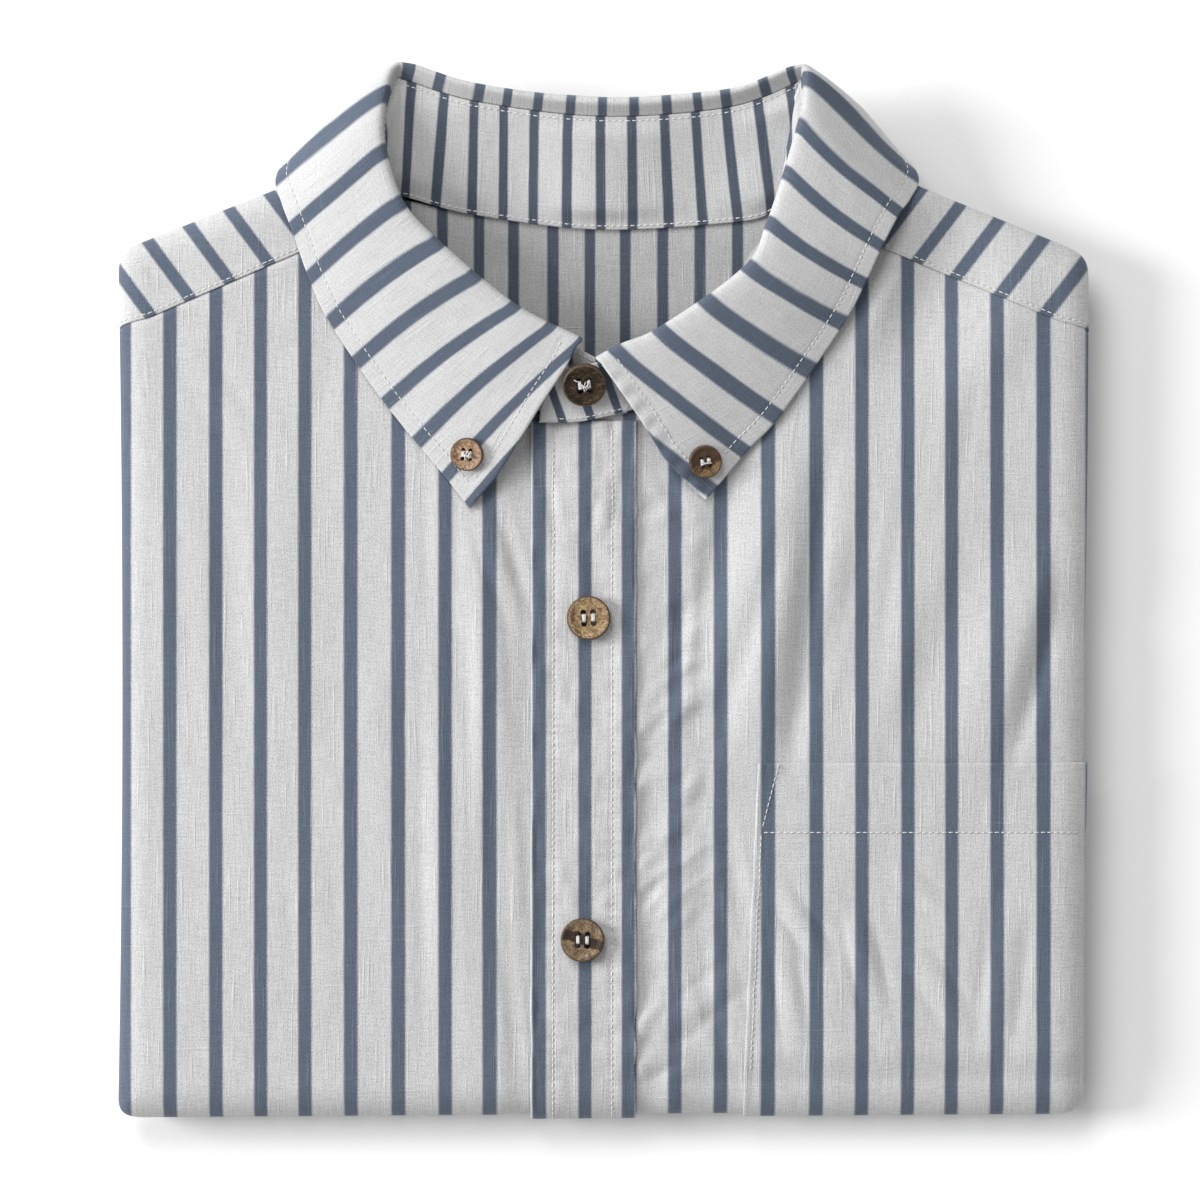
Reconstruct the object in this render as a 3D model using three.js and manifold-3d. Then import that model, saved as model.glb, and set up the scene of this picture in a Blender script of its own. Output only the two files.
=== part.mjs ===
// A short-sleeve button-down shirt, folded for the shelf and lying on its back.
// Millimetres, +Z up. The origin is the middle of the bounding box, on the surface it lies on.
// +Y runs from the hem fold to the collar, and -X is the wearer's right.
//
// The fronts, yoke, placket and pocket are cloth walls that lie on one rounded bundle of
// hidden layers: the sleeves, the back and the tail folded under it. Each wall follows the
// same folded surface, so what lies on a panel is that panel's surface moved out.

import * as THREE from "three";
import { mergeVertices } from "three/addons/utils/BufferGeometryUtils.js";
import Module from "manifold-3d";

const wasm = await Module();
wasm.setup();

// ---- driving sizes ----
const HALF_WIDTH = 162; // side fold from the middle
const HEM_Y = -175.8; // outermost line of the hem fold
const EDGE_TOP = 19; // height of the cloth where a fold starts
const DOME = 2.5; // how much higher the middle of the shirt is
const CLOTH = 1.2; // wall of a body panel
const COLLAR_CLOTH = 1.6; // two layers and their interlining
const GAP = 0.3; // between two pieces at a seam
const UNDER_HEM = 1.9; // height of the hem fold's underside, clear of the floor for what lies on it

// A fold goes out and down from the flat top, and back in beneath.
const SIDE_FOLD = { out: 10, above: 5, under: 6, below: 4.6, flat: 1.5 };
const HEM_FOLD = { out: 11, above: 8.55, under: 5, below: 8.55, flat: 4 };
const CORNER_POWER = 4; // 2 is a round corner, and more is squarer
const FOLD_SHARES = [0.1, 0.2, 0.3, 0.4, 0.5, 0.62, 0.74, 0.87, 1];
const TURN = 0.45; // share of a fold's length down to its outermost line
const TUCK = 0.87; // share down to its underside

const SIDE_START = HALF_WIDTH - SIDE_FOLD.out;
const HEM_START = HEM_Y + HEM_FOLD.out;

// Placket, pocket and the overlap of the two fronts
const PLACKET = { left: -24.3, right: 11, top: 57.2, thick: 1.2 };
const OVERLAP = { lapEnd: -22.5, underEnd: 8, dipStart: -38, dipEnd: -25 };
const POCKET = { top: -57.6, insideTop: 52, insideHem: 47.5, sideShare: 0.62, hemShare: 0.74 };
const LAYER = CLOTH + GAP;

// Large soft folds of the fronts, by the ends of their ridges
const FOLDS = [
  { fromX: 52, fromY: 28, toX: 22, toY: -66, width: 8, height: 1.1 },
  { fromX: 80, fromY: 34, toX: 46, toY: -62, width: 10, height: 0.9 },
  { fromX: 26, fromY: -40, toX: 26, toY: -168, width: 7, height: 0.7 },
  { fromX: 118, fromY: 30, toX: 96, toY: -50, width: 12, height: 0.6 },
  { fromX: -46, fromY: 30, toX: -34, toY: -60, width: 7, height: 0.9 },
  { fromX: -52, fromY: -50, toX: -44, toY: -160, width: 9, height: 0.7 },
  { fromX: -112, fromY: 70, toX: -104, toY: -60, width: 13, height: 0.6 },
];

// Shoulder seams and folds, from the side to the neck
const SHOULDER = {
  [-1]: { seamSide: 91.2, seamNeck: 123.5, neckX: -77, neckTopX: -81, foldSide: 113.5, slope: 0.394 },
  [1]: { seamSide: 90.2, seamNeck: 126.3, neckX: 64, neckTopX: 73, foldSide: 112.2, slope: 0.409 },
};
const SEAM_DROP = 8; // how far the yoke seam runs down as it goes round the side fold

// The neckline of the fronts, which the collar stand is sewn to
const NECKLINE = [
  { x: -77, y: 123.5 }, { x: -76, y: 108 }, { x: -74, y: 98 }, { x: -68.3, y: 85.5 },
  { x: -60, y: 76.5 }, { x: -51, y: 69.5 }, { x: -38, y: 63.5 }, { x: -22.5, y: 59.5 },
  { x: -6.3, y: 58 }, { x: 9, y: 60.2 }, { x: 25.7, y: 66.5 }, { x: 42.3, y: 75.5 },
  { x: 55.7, y: 89.5 }, { x: 61, y: 99 }, { x: 63.2, y: 110 }, { x: 64, y: 126.3 },
];

// Neck hollow and the inside of the yoke that shows in it
const HOLLOW_FLOOR = 11.7;
const INSIDE_YOKE = { low: 12, left: -71, right: 58, back: 124, backLift: 4.5, inset: 3 };

// The collar, a row for each station from the wearer's right point round the neck to the left.
// roll is the line it folds over on, edge the outer edge of the leaf and base the neck seam.
const COLLAR = [
  { stripe: -8, rollX: 3, rollY: 76.5, edgeX: -42.7, edgeY: 25.2, baseX: 3, baseY: 59 },
  { stripe: -7, rollX: -7.7, rollY: 83.8, edgeX: -52.7, edgeY: 38.2, baseX: -11, baseY: 58.5 },
  { stripe: -5, rollX: -29.7, rollY: 95.5, edgeX: -72.7, edgeY: 62.5, baseX: -36, baseY: 63.5 },
  { stripe: -3, rollX: -54.3, rollY: 116.2, edgeX: -90.7, edgeY: 88.8, baseX: -64, baseY: 81.5 },
  { stripe: -2, rollX: -66.3, rollY: 129.5, edgeX: -98, edgeY: 104.2, baseX: -73, baseY: 96.5 },
  { stripe: -1, rollX: -71.7, rollY: 145.5, edgeX: -103.7, edgeY: 120.2, baseX: -76, baseY: 111 },
  { stripe: -0.4, rollX: -72.7, rollY: 155.5, edgeX: -107, edgeY: 129.2, baseX: -76, baseY: 119 },
  { stripe: 0, rollX: -72.7, rollY: 164.5, edgeX: -109, edgeY: 137.5, baseX: -74.3, baseY: 126.5 },
  { stripe: 0.5, rollX: -71.2, rollY: 173.4, edgeX: -103, edgeY: 145.5, baseX: -71, baseY: 130.5 },
  { stripe: 1, rollX: -63.8, rollY: 175.6, edgeX: -80, edgeY: 152, baseX: -66, baseY: 131.5 },
  { stripe: 3, rollX: -40.3, rollY: 168.8, edgeX: -44, edgeY: 154, baseX: -43.7, baseY: 125.8 },
  { stripe: 7, rollX: -0.3, rollY: 164.1, edgeX: -0.3, edgeY: 153.5, baseX: -1, baseY: 120.8 },
  { stripe: 11, rollX: 39.7, rollY: 166.9, edgeX: 44, edgeY: 154, baseX: 46, baseY: 123.5 },
  { stripe: 13, rollX: 62, rollY: 174.6, edgeX: 80, edgeY: 152, baseX: 57, baseY: 127 },
  { stripe: 13.5, rollX: 68.4, rollY: 173.2, edgeX: 98, edgeY: 145.5, baseX: 60.5, baseY: 125 },
  { stripe: 14, rollX: 67.5, rollY: 166.2, edgeX: 105, edgeY: 138, baseX: 61.4, baseY: 120 },
  { stripe: 14.5, rollX: 66, rollY: 161, edgeX: 102, edgeY: 130.5, baseX: 61.6, baseY: 114 },
  { stripe: 15, rollX: 64.5, rollY: 155.8, edgeX: 98.3, edgeY: 125.5, baseX: 64, baseY: 109 },
  { stripe: 16, rollX: 59.7, rollY: 139.2, edgeX: 92.7, edgeY: 114.8, baseX: 60, baseY: 97 },
  { stripe: 17, rollX: 54, rollY: 122.5, edgeX: 87, edgeY: 102.5, baseX: 53, baseY: 86 },
  { stripe: 18, rollX: 47, rollY: 108.5, edgeX: 79.7, edgeY: 88.8, baseX: 43, baseY: 76 },
  { stripe: 20, rollX: 19.3, rollY: 88.2, edgeX: 58.7, edgeY: 58.5, baseX: 20, baseY: 64 },
  { stripe: 21, rollX: 4, rollY: 81.2, edgeX: 47.3, edgeY: 46.2, baseX: 8, baseY: 60 },
  { stripe: 22.5, rollX: -18, rollY: 68, edgeX: 31, edgeY: 26.5, baseX: -8, baseY: 57 },
];
// Where the leaf leaves the shirt and goes down behind it: the height of its edge, and how far
// the stand leans away from the neck rather than into it
const COLLAR_BACK = [
  { stripe: -0.4, edgeZ: 20.4, lean: 0 },
  { stripe: 0, edgeZ: 16, lean: 0.25 },
  { stripe: 0.5, edgeZ: 9, lean: 0.65 },
  { stripe: 1, edgeZ: 3, lean: 1 },
  { stripe: 3, edgeZ: 1.2, lean: 1 },
  { stripe: 7, edgeZ: 1.2, lean: 1 },
  { stripe: 11, edgeZ: 1.2, lean: 1 },
  { stripe: 13, edgeZ: 3, lean: 1 },
  { stripe: 13.5, edgeZ: 9, lean: 0.65 },
  { stripe: 14, edgeZ: 16, lean: 0.25 },
  { stripe: 14.5, edgeZ: 20.4, lean: 0 },
];
const ROLL_HEIGHT = { front: 32.4, back: 30 };
const LEAF_REST = GAP + COLLAR_CLOTH / 2 + 0.15; // middle of the leaf above the panel it lies on
const BACK_SEAM_HEIGHT = 14.9;
// Where the seam and the crest lie from the roll line, outwards and down, at the front and back
const SEAM_SHIFT = { front: 0.6, back: -5.2, down: 4.4 };
const CREST_SHIFT = { front: 2.6, back: -0.9 };
const BELLY = { front: 1.6, back: 4.4 };

// The leaf's front edges from above, from the point up to the neck
const LEAF_FRONT = {
  right: [
    { y: 27, x: -44.4 }, { y: 30.5, x: -42.2 }, { y: 38.2, x: -35.5 }, { y: 50.5, x: -27.8 },
    { y: 62.8, x: -20.2 }, { y: 74.8, x: -12.2 }, { y: 85.8, x: -6.8 },
  ],
  left: [
    { y: 28.2, x: 36.5 }, { y: 36.2, x: 27.8 }, { y: 44.8, x: 19.8 }, { y: 57.2, x: 12.2 },
    { y: 68.2, x: 4.5 }, { y: 74.8, x: -0.2 }, { y: 82, x: -2.6 },
  ],
};

// The stand's ends cross at the front. The wearer's left one lies outside.
const STAND_UNDER_END = [
  { baseX: 8, baseY: 59.5, baseZ: 22.1, topX: 5, topY: 76.5, topZ: 26 },
  { baseX: -3, baseY: 58.6, baseZ: 22.1, topX: -3, topY: 78, topZ: 26.8 },
];
const STAND_OUTER_END = [
  { baseX: -5, baseY: 57, baseZ: 24.2, topX: -2, topY: 76.2, topZ: 29.6 },
  { baseX: -21.5, baseY: 56.2, baseZ: 24.2, topX: -19, topY: 76.5, topZ: 29.6 },
];
const STAND_FROM = 1; // the first and last rows of the table that the stand follows
const STAND_TO = COLLAR.length - 3;

// Buttons: 14.6 mm on the front, 11 mm on the collar points
const BUTTON = { radius: 7.3, thick: 2.6, rim: 0.5, dish: 0.5, hole: 1, holeApart: 1.55, sides: 24 };
const SMALL_BUTTON = { radius: 5.5, thick: 2.2, rim: 0.45, dish: 0.4, hole: 0.8, holeApart: 1.2, sides: 20 };
const HOLE_SIDES = 8;
const PLACKET_BUTTONS = [
  { name: "button_front_1", x: -5, y: -8.8 },
  { name: "button_front_2", x: -7, y: -116.2 },
];
const STAND_BUTTON = { x: -6.5, y: 69, along: 0.965, across: 0.6 };
const POINT_BUTTONS = [
  { name: "button_collar_right", x: -45.7, y: 45.8, along: 0.05, across: 0.85 },
  { name: "button_collar_left", x: 33.5, y: 43.5, along: 0.94, across: 0.85 },
];

// The bundle of hidden layers: how far each level lies in from the outline, along the sides and
// shoulders, where two tail layers and the tucked front show, and inside the hem fold.
const LEVELS = [
  { z: 0, side: 5, corner: 8, hem: 13 },
  { z: 0.9, side: 2.8, corner: 7, hem: 13 },
  { z: 2.4, side: 1.9, corner: 10.5, hem: 12.6 },
  { z: 3.6, side: 2.2, corner: 10.5, hem: 12 },
  { z: 4.5, side: 4.4, corner: 10.5, hem: 11 },
  { z: 5.4, side: 2, corner: 10.5, hem: 8.6 },
  { z: 6.8, side: 1.6, corner: 10.5, hem: 6 },
  { z: 8.2, side: 2.6, corner: 10.5, hem: 5 },
  { z: 8.8, side: 5.2, corner: 10.5, hem: 4.8 },
  { z: 9, side: 9.5, corner: 10.5, hem: 4.6 },
  { z: 11.3, side: 9.5, corner: 10.5, hem: 4.4 },
  { z: 11.8, side: 6.5, corner: 9.5, hem: 4.5 },
  { z: 12.4, side: 4.2, corner: 7.5, hem: 4.8 },
  { z: 14.2, side: 2.3, corner: 6, hem: 6.6 },
  { z: 16, side: 4.2, corner: 9, hem: 12 },
  { z: 16.8, side: 7, corner: 11, hem: 13 },
  { z: 17.2, side: 10, corner: 12, hem: 13 },
  { z: 22.5, side: 10, corner: 12, hem: 13 },
];
const BASE_INSET = 13;
const BACK_NECK_Y = 149; // back edge of the bundle, under the collar
const LAYER_WAVE = 0.5; // unevenness of the layered edges

// ---- small helpers ----
const mix = (a, b, t) => a + (b - a) * t;
const clamp = (t) => Math.min(1, Math.max(0, t));
const smooth = (t) => clamp(t) ** 2 * (3 - 2 * clamp(t));
const hand = (x) => (x < 0 ? -1 : 1);
const unit = (x, y) => new THREE.Vector2(x, y).normalize();

// Reads one column of a table against another as a line of straight stretches.
function readTable(table, value, from = "y", to = "x") {
  const beyond = table.findIndex((row) => row[from] >= value);
  const next = beyond < 0 ? table.length - 1 : Math.max(1, beyond);
  const [a, b] = [table[next - 1], table[next]];
  return mix(a[to], b[to], clamp((value - a[from]) / (b[from] - a[from])));
}
const necklineAt = (x) => readTable(NECKLINE, x, "x", "y");

// The sides of a real fold aren't quite straight, nor is the hem quite square to them.
function settle(p) {
  const pinch = p.x < 0 ? 1.3 * Math.max(0, 1 - ((p.y + 30) / 140) ** 2) : 2.7 * smooth((110 - p.y) / 280);
  const lift = 1.15 * (p.x / HALF_WIDTH + 1) * smooth((-p.y - 100) / 75);
  return new THREE.Vector3(p.x * (1 - pinch / HALF_WIDTH), p.y + lift, p.z);
}

// Rises over a ridge of a fold, and dips beside it, fading out at both ends.
function foldHeight({ fromX, fromY, toX, toY, width, height }, x, y) {
  const [dx, dy] = [toX - fromX, toY - fromY];
  const length = Math.hypot(dx, dy);
  const t = ((x - fromX) * dx + (y - fromY) * dy) / length ** 2;
  const off = Math.abs((x - fromX) * dy - (y - fromY) * dx) / length / width;
  if (t <= 0 || t >= 1 || off >= 2) return 0;
  return height * Math.sin(Math.PI * t) * Math.cos((Math.PI * off) / 2) * smooth(2 - off);
}

function domeHeight(x, y) {
  const across = Math.max(0, 1 - Math.abs(x / SIDE_START) ** 2.5);
  const lengthwise = Math.max(0, 1 - Math.abs((y + 20) / 150) ** 2.5);
  return EDGE_TOP + DOME * across * lengthwise;
}

// The height of the fronts, without what lies on them
const topHeight = (x, y) => FOLDS.reduce((sum, fold) => sum + foldHeight(fold, x, y), domeHeight(x, y));

function foldProfile(share, fold) {
  if (share <= TURN) {
    const angle = ((share / TURN) * Math.PI) / 2;
    return { reach: fold.out * Math.sin(angle), drop: fold.above * (1 - Math.cos(angle)) };
  }
  if (share <= TUCK) {
    const angle = (((share - TURN) / (TUCK - TURN)) * Math.PI) / 2;
    const reach = fold.out - fold.under * (1 - Math.cos(angle));
    return { reach, drop: fold.above + fold.below * Math.sin(angle) };
  }
  const reach = fold.out - fold.under - (fold.flat * (share - TUCK)) / (1 - TUCK);
  return { reach, drop: fold.above + fold.below };
}

// The hem fold reaches down to its underside from whatever height the cloth starts at.
function hemFoldAt(x, y) {
  const depth = (topHeight(x, y) - UNDER_HEM) / 2;
  return { ...HEM_FOLD, above: depth, below: depth };
}

// Where two folds meet, at a corner: the vector that is a out over the one whose way out is
// dirA, and b out over the other.
function cornerReach(a, dirA, b, dirB) {
  const det = dirA.x * dirB.y - dirA.y * dirB.x;
  return new THREE.Vector2((a * dirB.y - b * dirA.y) / det, (b * dirA.x - a * dirB.x) / det);
}

// A point of the folded surface: base is on the flat top, and each share says how far the
// cloth has gone round the fold that it meets in that direction.
function foldedPoint(base, shareA, dirA, foldA, shareB, dirB, foldB) {
  const height = topHeight(base.x, base.y);
  const share = Math.max(shareA, shareB);
  if (share === 0) return new THREE.Vector3(base.x, base.y, height);
  const size = (shareA ** CORNER_POWER + shareB ** CORNER_POWER) ** (1 / CORNER_POWER);
  const [a, b] = [shareA / size, shareB / size];
  const weight = b ** 2 / (a ** 2 + b ** 2);
  const [one, other] = [foldProfile(share, foldA), foldProfile(share, foldB)];
  const reach = mix(one.reach, other.reach, weight);
  const drop = mix(one.drop, other.drop, weight);
  const move = cornerReach(a, dirA, b, dirB).multiplyScalar(reach);
  return new THREE.Vector3(base.x + move.x, base.y + move.y, height - drop);
}

// ---- solids ----
// A closed wall from a grid of points, from `below` to `above` along the grid's normals.
// Where the cloth goes on in another piece, `before` or `after` holds that piece's next points.
function wall(grid, below, above, { before, after } = {}) {
  const [columns, rows] = [grid.length, grid[0].length];
  const point = (i, j) => grid[i]?.[j] ?? (j < 0 ? before?.[i] : after?.[i]);
  const faceNormal = (i, j) => {
    const [a, b, c, d] = [point(i, j), point(i + 1, j), point(i + 1, j + 1), point(i, j + 1)];
    if (!(a && b && c && d)) return new THREE.Vector3();
    return new THREE.Vector3().subVectors(c, a).cross(new THREE.Vector3().subVectors(d, b));
  };
  const normal = (i, j) => {
    const around = [faceNormal(i - 1, j - 1), faceNormal(i, j - 1), faceNormal(i - 1, j), faceNormal(i, j)];
    return around.reduce((sum, face) => sum.add(face)).normalize();
  };
  const positions = [];
  for (const lift of [below, above])
    for (let i = 0; i < columns; i++)
      for (let j = 0; j < rows; j++) {
        const amount = typeof lift === "function" ? lift(grid[i][j]) : lift;
        positions.push(...grid[i][j].clone().addScaledVector(normal(i, j), amount).toArray());
      }
  const at = (layer, i, j) => (layer * columns + i) * rows + j;
  const index = [];
  const quad = (a, b, c, d) => index.push(a, b, c, a, c, d);
  for (let i = 0; i + 1 < columns; i++)
    for (let j = 0; j + 1 < rows; j++) {
      quad(at(1, i, j), at(1, i + 1, j), at(1, i + 1, j + 1), at(1, i, j + 1));
      quad(at(0, i, j), at(0, i, j + 1), at(0, i + 1, j + 1), at(0, i + 1, j));
    }
  const last = { i: columns - 1, j: rows - 1 };
  for (let i = 0; i < last.i; i++) {
    quad(at(0, i, 0), at(0, i + 1, 0), at(1, i + 1, 0), at(1, i, 0));
    quad(at(1, i, last.j), at(1, i + 1, last.j), at(0, i + 1, last.j), at(0, i, last.j));
  }
  for (let j = 0; j < last.j; j++) {
    quad(at(1, 0, j), at(1, 0, j + 1), at(0, 0, j + 1), at(0, 0, j));
    quad(at(0, last.i, j), at(0, last.i, j + 1), at(1, last.i, j + 1), at(1, last.i, j));
  }
  return closedGeometry(positions, index);
}

// Turns the faces outwards if the grid ran the other way round.
function closedGeometry(positions, index) {
  const corner = (i) => new THREE.Vector3().fromArray(positions, index[i] * 3);
  let volume = 0;
  for (let i = 0; i < index.length; i += 3) volume += corner(i).dot(corner(i + 1).cross(corner(i + 2)));
  const outward = volume > 0 ? index : index.reverse();
  const geometry = new THREE.BufferGeometry();
  geometry.setAttribute("position", new THREE.BufferAttribute(new Float32Array(positions), 3));
  return geometry.setIndex(outward);
}

function toSolid(geometry) {
  const bare = geometry.index ? geometry.toNonIndexed() : geometry.clone();
  bare.deleteAttribute("normal");
  bare.deleteAttribute("uv");
  const merged = mergeVertices(bare, 1e-4);
  const vertProperties = merged.attributes.position.array;
  const triVerts = new Uint32Array(merged.index.array);
  return new wasm.Manifold(new wasm.Mesh({ numProp: 3, vertProperties, triVerts }));
}

function toGeometry(solid) {
  const mesh = solid.getMesh();
  const geometry = new THREE.BufferGeometry();
  geometry.setAttribute("position", new THREE.BufferAttribute(mesh.vertProperties, 3));
  return geometry.setIndex(new THREE.BufferAttribute(mesh.triVerts, 1));
}

// ---- fronts, yoke, placket and pocket ----
const HEM_WAY = new THREE.Vector2(0, -1);
const sideWay = (side) => new THREE.Vector2(side, 0);

// The top edge of a front: the yoke seam out to the side, and the neckline under the collar.
function frontTop(side, x) {
  const s = SHOULDER[side];
  if (Math.abs(x) < Math.abs(s.neckX)) return necklineAt(x);
  return mix(s.seamNeck, s.seamSide, (x - s.neckX) / (side * SIDE_START - s.neckX));
}

// A column is { x } on the flat top or { share } round the side fold, and a row { t } up the
// front or { share } round the hem fold.
function frontPoint(side, column, row, top = frontTop) {
  const x = column.x ?? side * SIDE_START;
  const [sideShare, hemShare] = [column.share ?? 0, row.share ?? 0];
  const upper = top(side, x) - GAP - SEAM_DROP * sideShare;
  const y = mix(HEM_START, upper, row.t ?? 0);
  const hemFold = hemFoldAt(x, y);
  return settle(foldedPoint({ x, y }, sideShare, sideWay(side), SIDE_FOLD, hemShare, HEM_WAY, hemFold));
}

const shares = (most = 1) => FOLD_SHARES.filter((share) => share <= most).map((share) => ({ share }));
const risingRows = (count) => Array.from({ length: count + 1 }, (_, i) => ({ t: i / count }));
const hemRows = (most) => shares(most).reverse();

const FRONT_ROWS = 13;
const RIGHT_COLUMNS = [
  8, -7, -22.5, -25, -28, -31, -35, -38, -44.5, -51, -60, -68.3, -74, -76, -77,
  -84, -92, -100, -108, -116, -125, -138, -152,
];
const LEFT_COLUMNS = [
  -22.5, -7, 4, 11, 18, 22, 26, 34, 42.3, 49, 55.7, 61, 63.2, 64,
  72, 81, 90, 99, 108, 116, 125, 138, 152,
];

const dip = (x) => smooth((x - OVERLAP.dipStart) / (OVERLAP.dipEnd - OVERLAP.dipStart));

function frontGrid(side, xs) {
  const columns = [...xs.map((x) => ({ x })), ...shares()];
  const rows = [...hemRows(1), ...risingRows(FRONT_ROWS)];
  return columns.map((column) => rows.map((row) => frontPoint(side, column, row)));
}

function placketGrid() {
  const xs = [PLACKET.left, -15, -7, 4, PLACKET.right];
  const rows = [...hemRows(1), ...risingRows(FRONT_ROWS)];
  const top = () => PLACKET.top;
  return xs.map((x) => rows.map((row) => frontPoint(1, { x }, row, top)));
}

function pocketGrid() {
  const heightShare = (y) => clamp((y - HEM_START) / (POCKET.top - HEM_START));
  const inside = (y) => mix(POCKET.insideHem, POCKET.insideTop, heightShare(y));
  const flatColumns = [0, 0.15, 0.3, 0.45, 0.6, 0.8, 1].map((from) => ({ from }));
  const columns = [...flatColumns, ...shares(POCKET.sideShare)];
  const rows = [...hemRows(POCKET.hemShare), ...risingRows(6)];
  return columns.map((column) =>
    rows.map((row) => {
      const y = mix(HEM_START, POCKET.top, row.t ?? 0);
      const x = mix(inside(y), SIDE_START, column.from ?? 1);
      const place = column.share === undefined ? { x } : { share: column.share };
      return frontPoint(1, place, row, () => POCKET.top + GAP + SEAM_DROP * (column.share ?? 0));
    }),
  );
}

function yokeGrid(side) {
  const s = SHOULDER[side];
  const outward = new THREE.Vector2(side * s.slope, 1).normalize();
  const foldStart = (x) => s.foldSide + s.slope * (HALF_WIDTH - Math.abs(x)) - SIDE_FOLD.out / outward.y;
  const columns = [{ from: 0 }, { from: 0.3 }, { from: 0.65 }, { from: 1 }, ...shares()];
  const rows = [{ t: 0 }, { t: 0.5 }, { t: 1 }, ...shares()];
  return columns.map((column) =>
    rows.map((row) => {
      const t = row.t ?? 1;
      const x = mix(mix(s.neckX, s.neckTopX, t), side * SIDE_START, column.from ?? 1);
      const [sideShare, shoulderShare] = [column.share ?? 0, row.share ?? 0];
      const slant = s.slope * foldProfile(sideShare, SIDE_FOLD).reach;
      const seam = frontTop(side, x) + GAP / 2 - SEAM_DROP * sideShare + slant;
      const y = mix(seam, foldStart(x), t);
      const base = { x, y };
      return settle(foldedPoint(base, sideShare, sideWay(side), SIDE_FOLD, shoulderShare, outward, SIDE_FOLD));
    }),
  );
}

function insideYokeGrid() {
  const [count, rows] = [10, 5];
  return Array.from({ length: count + 1 }, (_, i) => {
    const x = mix(INSIDE_YOKE.left, INSIDE_YOKE.right, i / count);
    const middle = (INSIDE_YOKE.left + INSIDE_YOKE.right) / 2;
    const spread = (x - middle) / (INSIDE_YOKE.right - middle);
    const back = INSIDE_YOKE.back + INSIDE_YOKE.backLift * spread ** 2;
    const front = necklineAt(x) + INSIDE_YOKE.inset;
    const pointAt = (_, j) => new THREE.Vector3(x, mix(front, back, j / rows), INSIDE_YOKE.low);
    return Array.from({ length: rows + 1 }, pointAt);
  });
}

// ---- collar ----
const back = new Map(COLLAR_BACK.map((row) => [row.stripe, row]));
const leanOf = (row) => back.get(row.stripe)?.lean ?? 0;
const outwardAt = COLLAR.map((row, i) => {
  const [before, after] = [COLLAR[Math.max(0, i - 1)], COLLAR[Math.min(COLLAR.length - 1, i + 1)]];
  return new THREE.Vector3(-(after.rollY - before.rollY), after.rollX - before.rollX, 0).normalize();
});

// The four lines that the leaf runs through: its seam to the stand, crest, belly and edge.
const leafLines = { seam: [], crest: [], belly: [], edge: [] };
COLLAR.forEach((row, i) => {
  const [out, lean] = [outwardAt[i], leanOf(row)];
  const height = mix(ROLL_HEIGHT.front, ROLL_HEIGHT.back, lean);
  const roll = new THREE.Vector3(row.rollX, row.rollY, height);
  const edgeZ = back.get(row.stripe)?.edgeZ ?? topHeight(row.edgeX, row.edgeY) + LEAF_REST;
  const edge = new THREE.Vector3(row.edgeX, row.edgeY, edgeZ);
  const seam = roll.clone().addScaledVector(out, mix(SEAM_SHIFT.front, SEAM_SHIFT.back, lean));
  seam.z -= SEAM_SHIFT.down;
  const belly = roll.clone().lerp(edge, 0.5).addScaledVector(out, BELLY.back * lean);
  belly.z += BELLY.front * (1 - lean);
  leafLines.seam.push(seam);
  leafLines.crest.push(roll.clone().addScaledVector(out, mix(CREST_SHIFT.front, CREST_SHIFT.back, lean)));
  leafLines.belly.push(belly);
  leafLines.edge.push(edge);
});

const curve = (points) => new THREE.CatmullRomCurve3(points, false, "catmullrom", 0.5);
const leafCurves = Object.values(leafLines).map(curve);

// How far along the table a stripe lies, from 0 to 1
function stationOf(stripe) {
  const next = Math.min(COLLAR.length - 1, Math.max(1, COLLAR.findIndex((row) => row.stripe >= stripe)));
  const [a, b] = [COLLAR[next - 1], COLLAR[next]];
  return (next - 1 + (stripe - a.stripe) / (b.stripe - a.stripe)) / (COLLAR.length - 1);
}

const leafSection = (station) => curve(leafCurves.map((line) => line.getPoint(station)));
const leafAt = (station, across) => leafSection(station).getPoint(across);
const leafPoint = (stripe, across) => leafAt(stationOf(stripe), across);

// The stripe that the leaf has reached where its front edge lies, between two stripes
function endStripe(edge, across, outside, inside) {
  for (let step = 0; step < 24; step++) {
    const middle = (outside + inside) / 2;
    const p = leafPoint(middle, across);
    const beyond = (p.x - readTable(edge, p.y)) * hand(inside - 7) < 0;
    if (beyond) outside = middle;
    else inside = middle;
  }
  return inside;
}

const LEAF_STEPS = [0, 0.12, 0.22, 0.33, 0.45, 0.6, 0.8, 1];
const leafEnds = LEAF_STEPS.map((across) => ({
  first: endStripe(LEAF_FRONT.right, across, COLLAR[0].stripe, -4),
  last: endStripe(LEAF_FRONT.left, across, COLLAR.at(-1).stripe, 19),
}));
const CREST_STEP = 3; // the step of the leaf at its roll line
const [leafFirst, leafLast] = [leafEnds[CREST_STEP].first, leafEnds[CREST_STEP].last];
const leafStripes = COLLAR.flatMap((row, i) => {
  const next = COLLAR[i + 1];
  return next ? [row.stripe, (row.stripe + next.stripe) / 2] : [row.stripe];
}).filter((stripe) => stripe > leafFirst + 0.4 && stripe < leafLast - 0.4);

// The rows near each cut end slant with it.
function leafGrid() {
  const [before, after] = [leafStripes[3], leafStripes.at(-4)];
  return [leafFirst, ...leafStripes, leafLast].map((stripe) =>
    LEAF_STEPS.map((across, k) => {
      const { first, last } = leafEnds[Math.max(k, CREST_STEP)];
      const start = (first - leafFirst) * smooth((before - stripe) / (before - leafFirst));
      const end = (last - leafLast) * smooth((stripe - after) / (leafLast - after));
      return leafPoint(stripe + start + end, across);
    }),
  );
}

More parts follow.
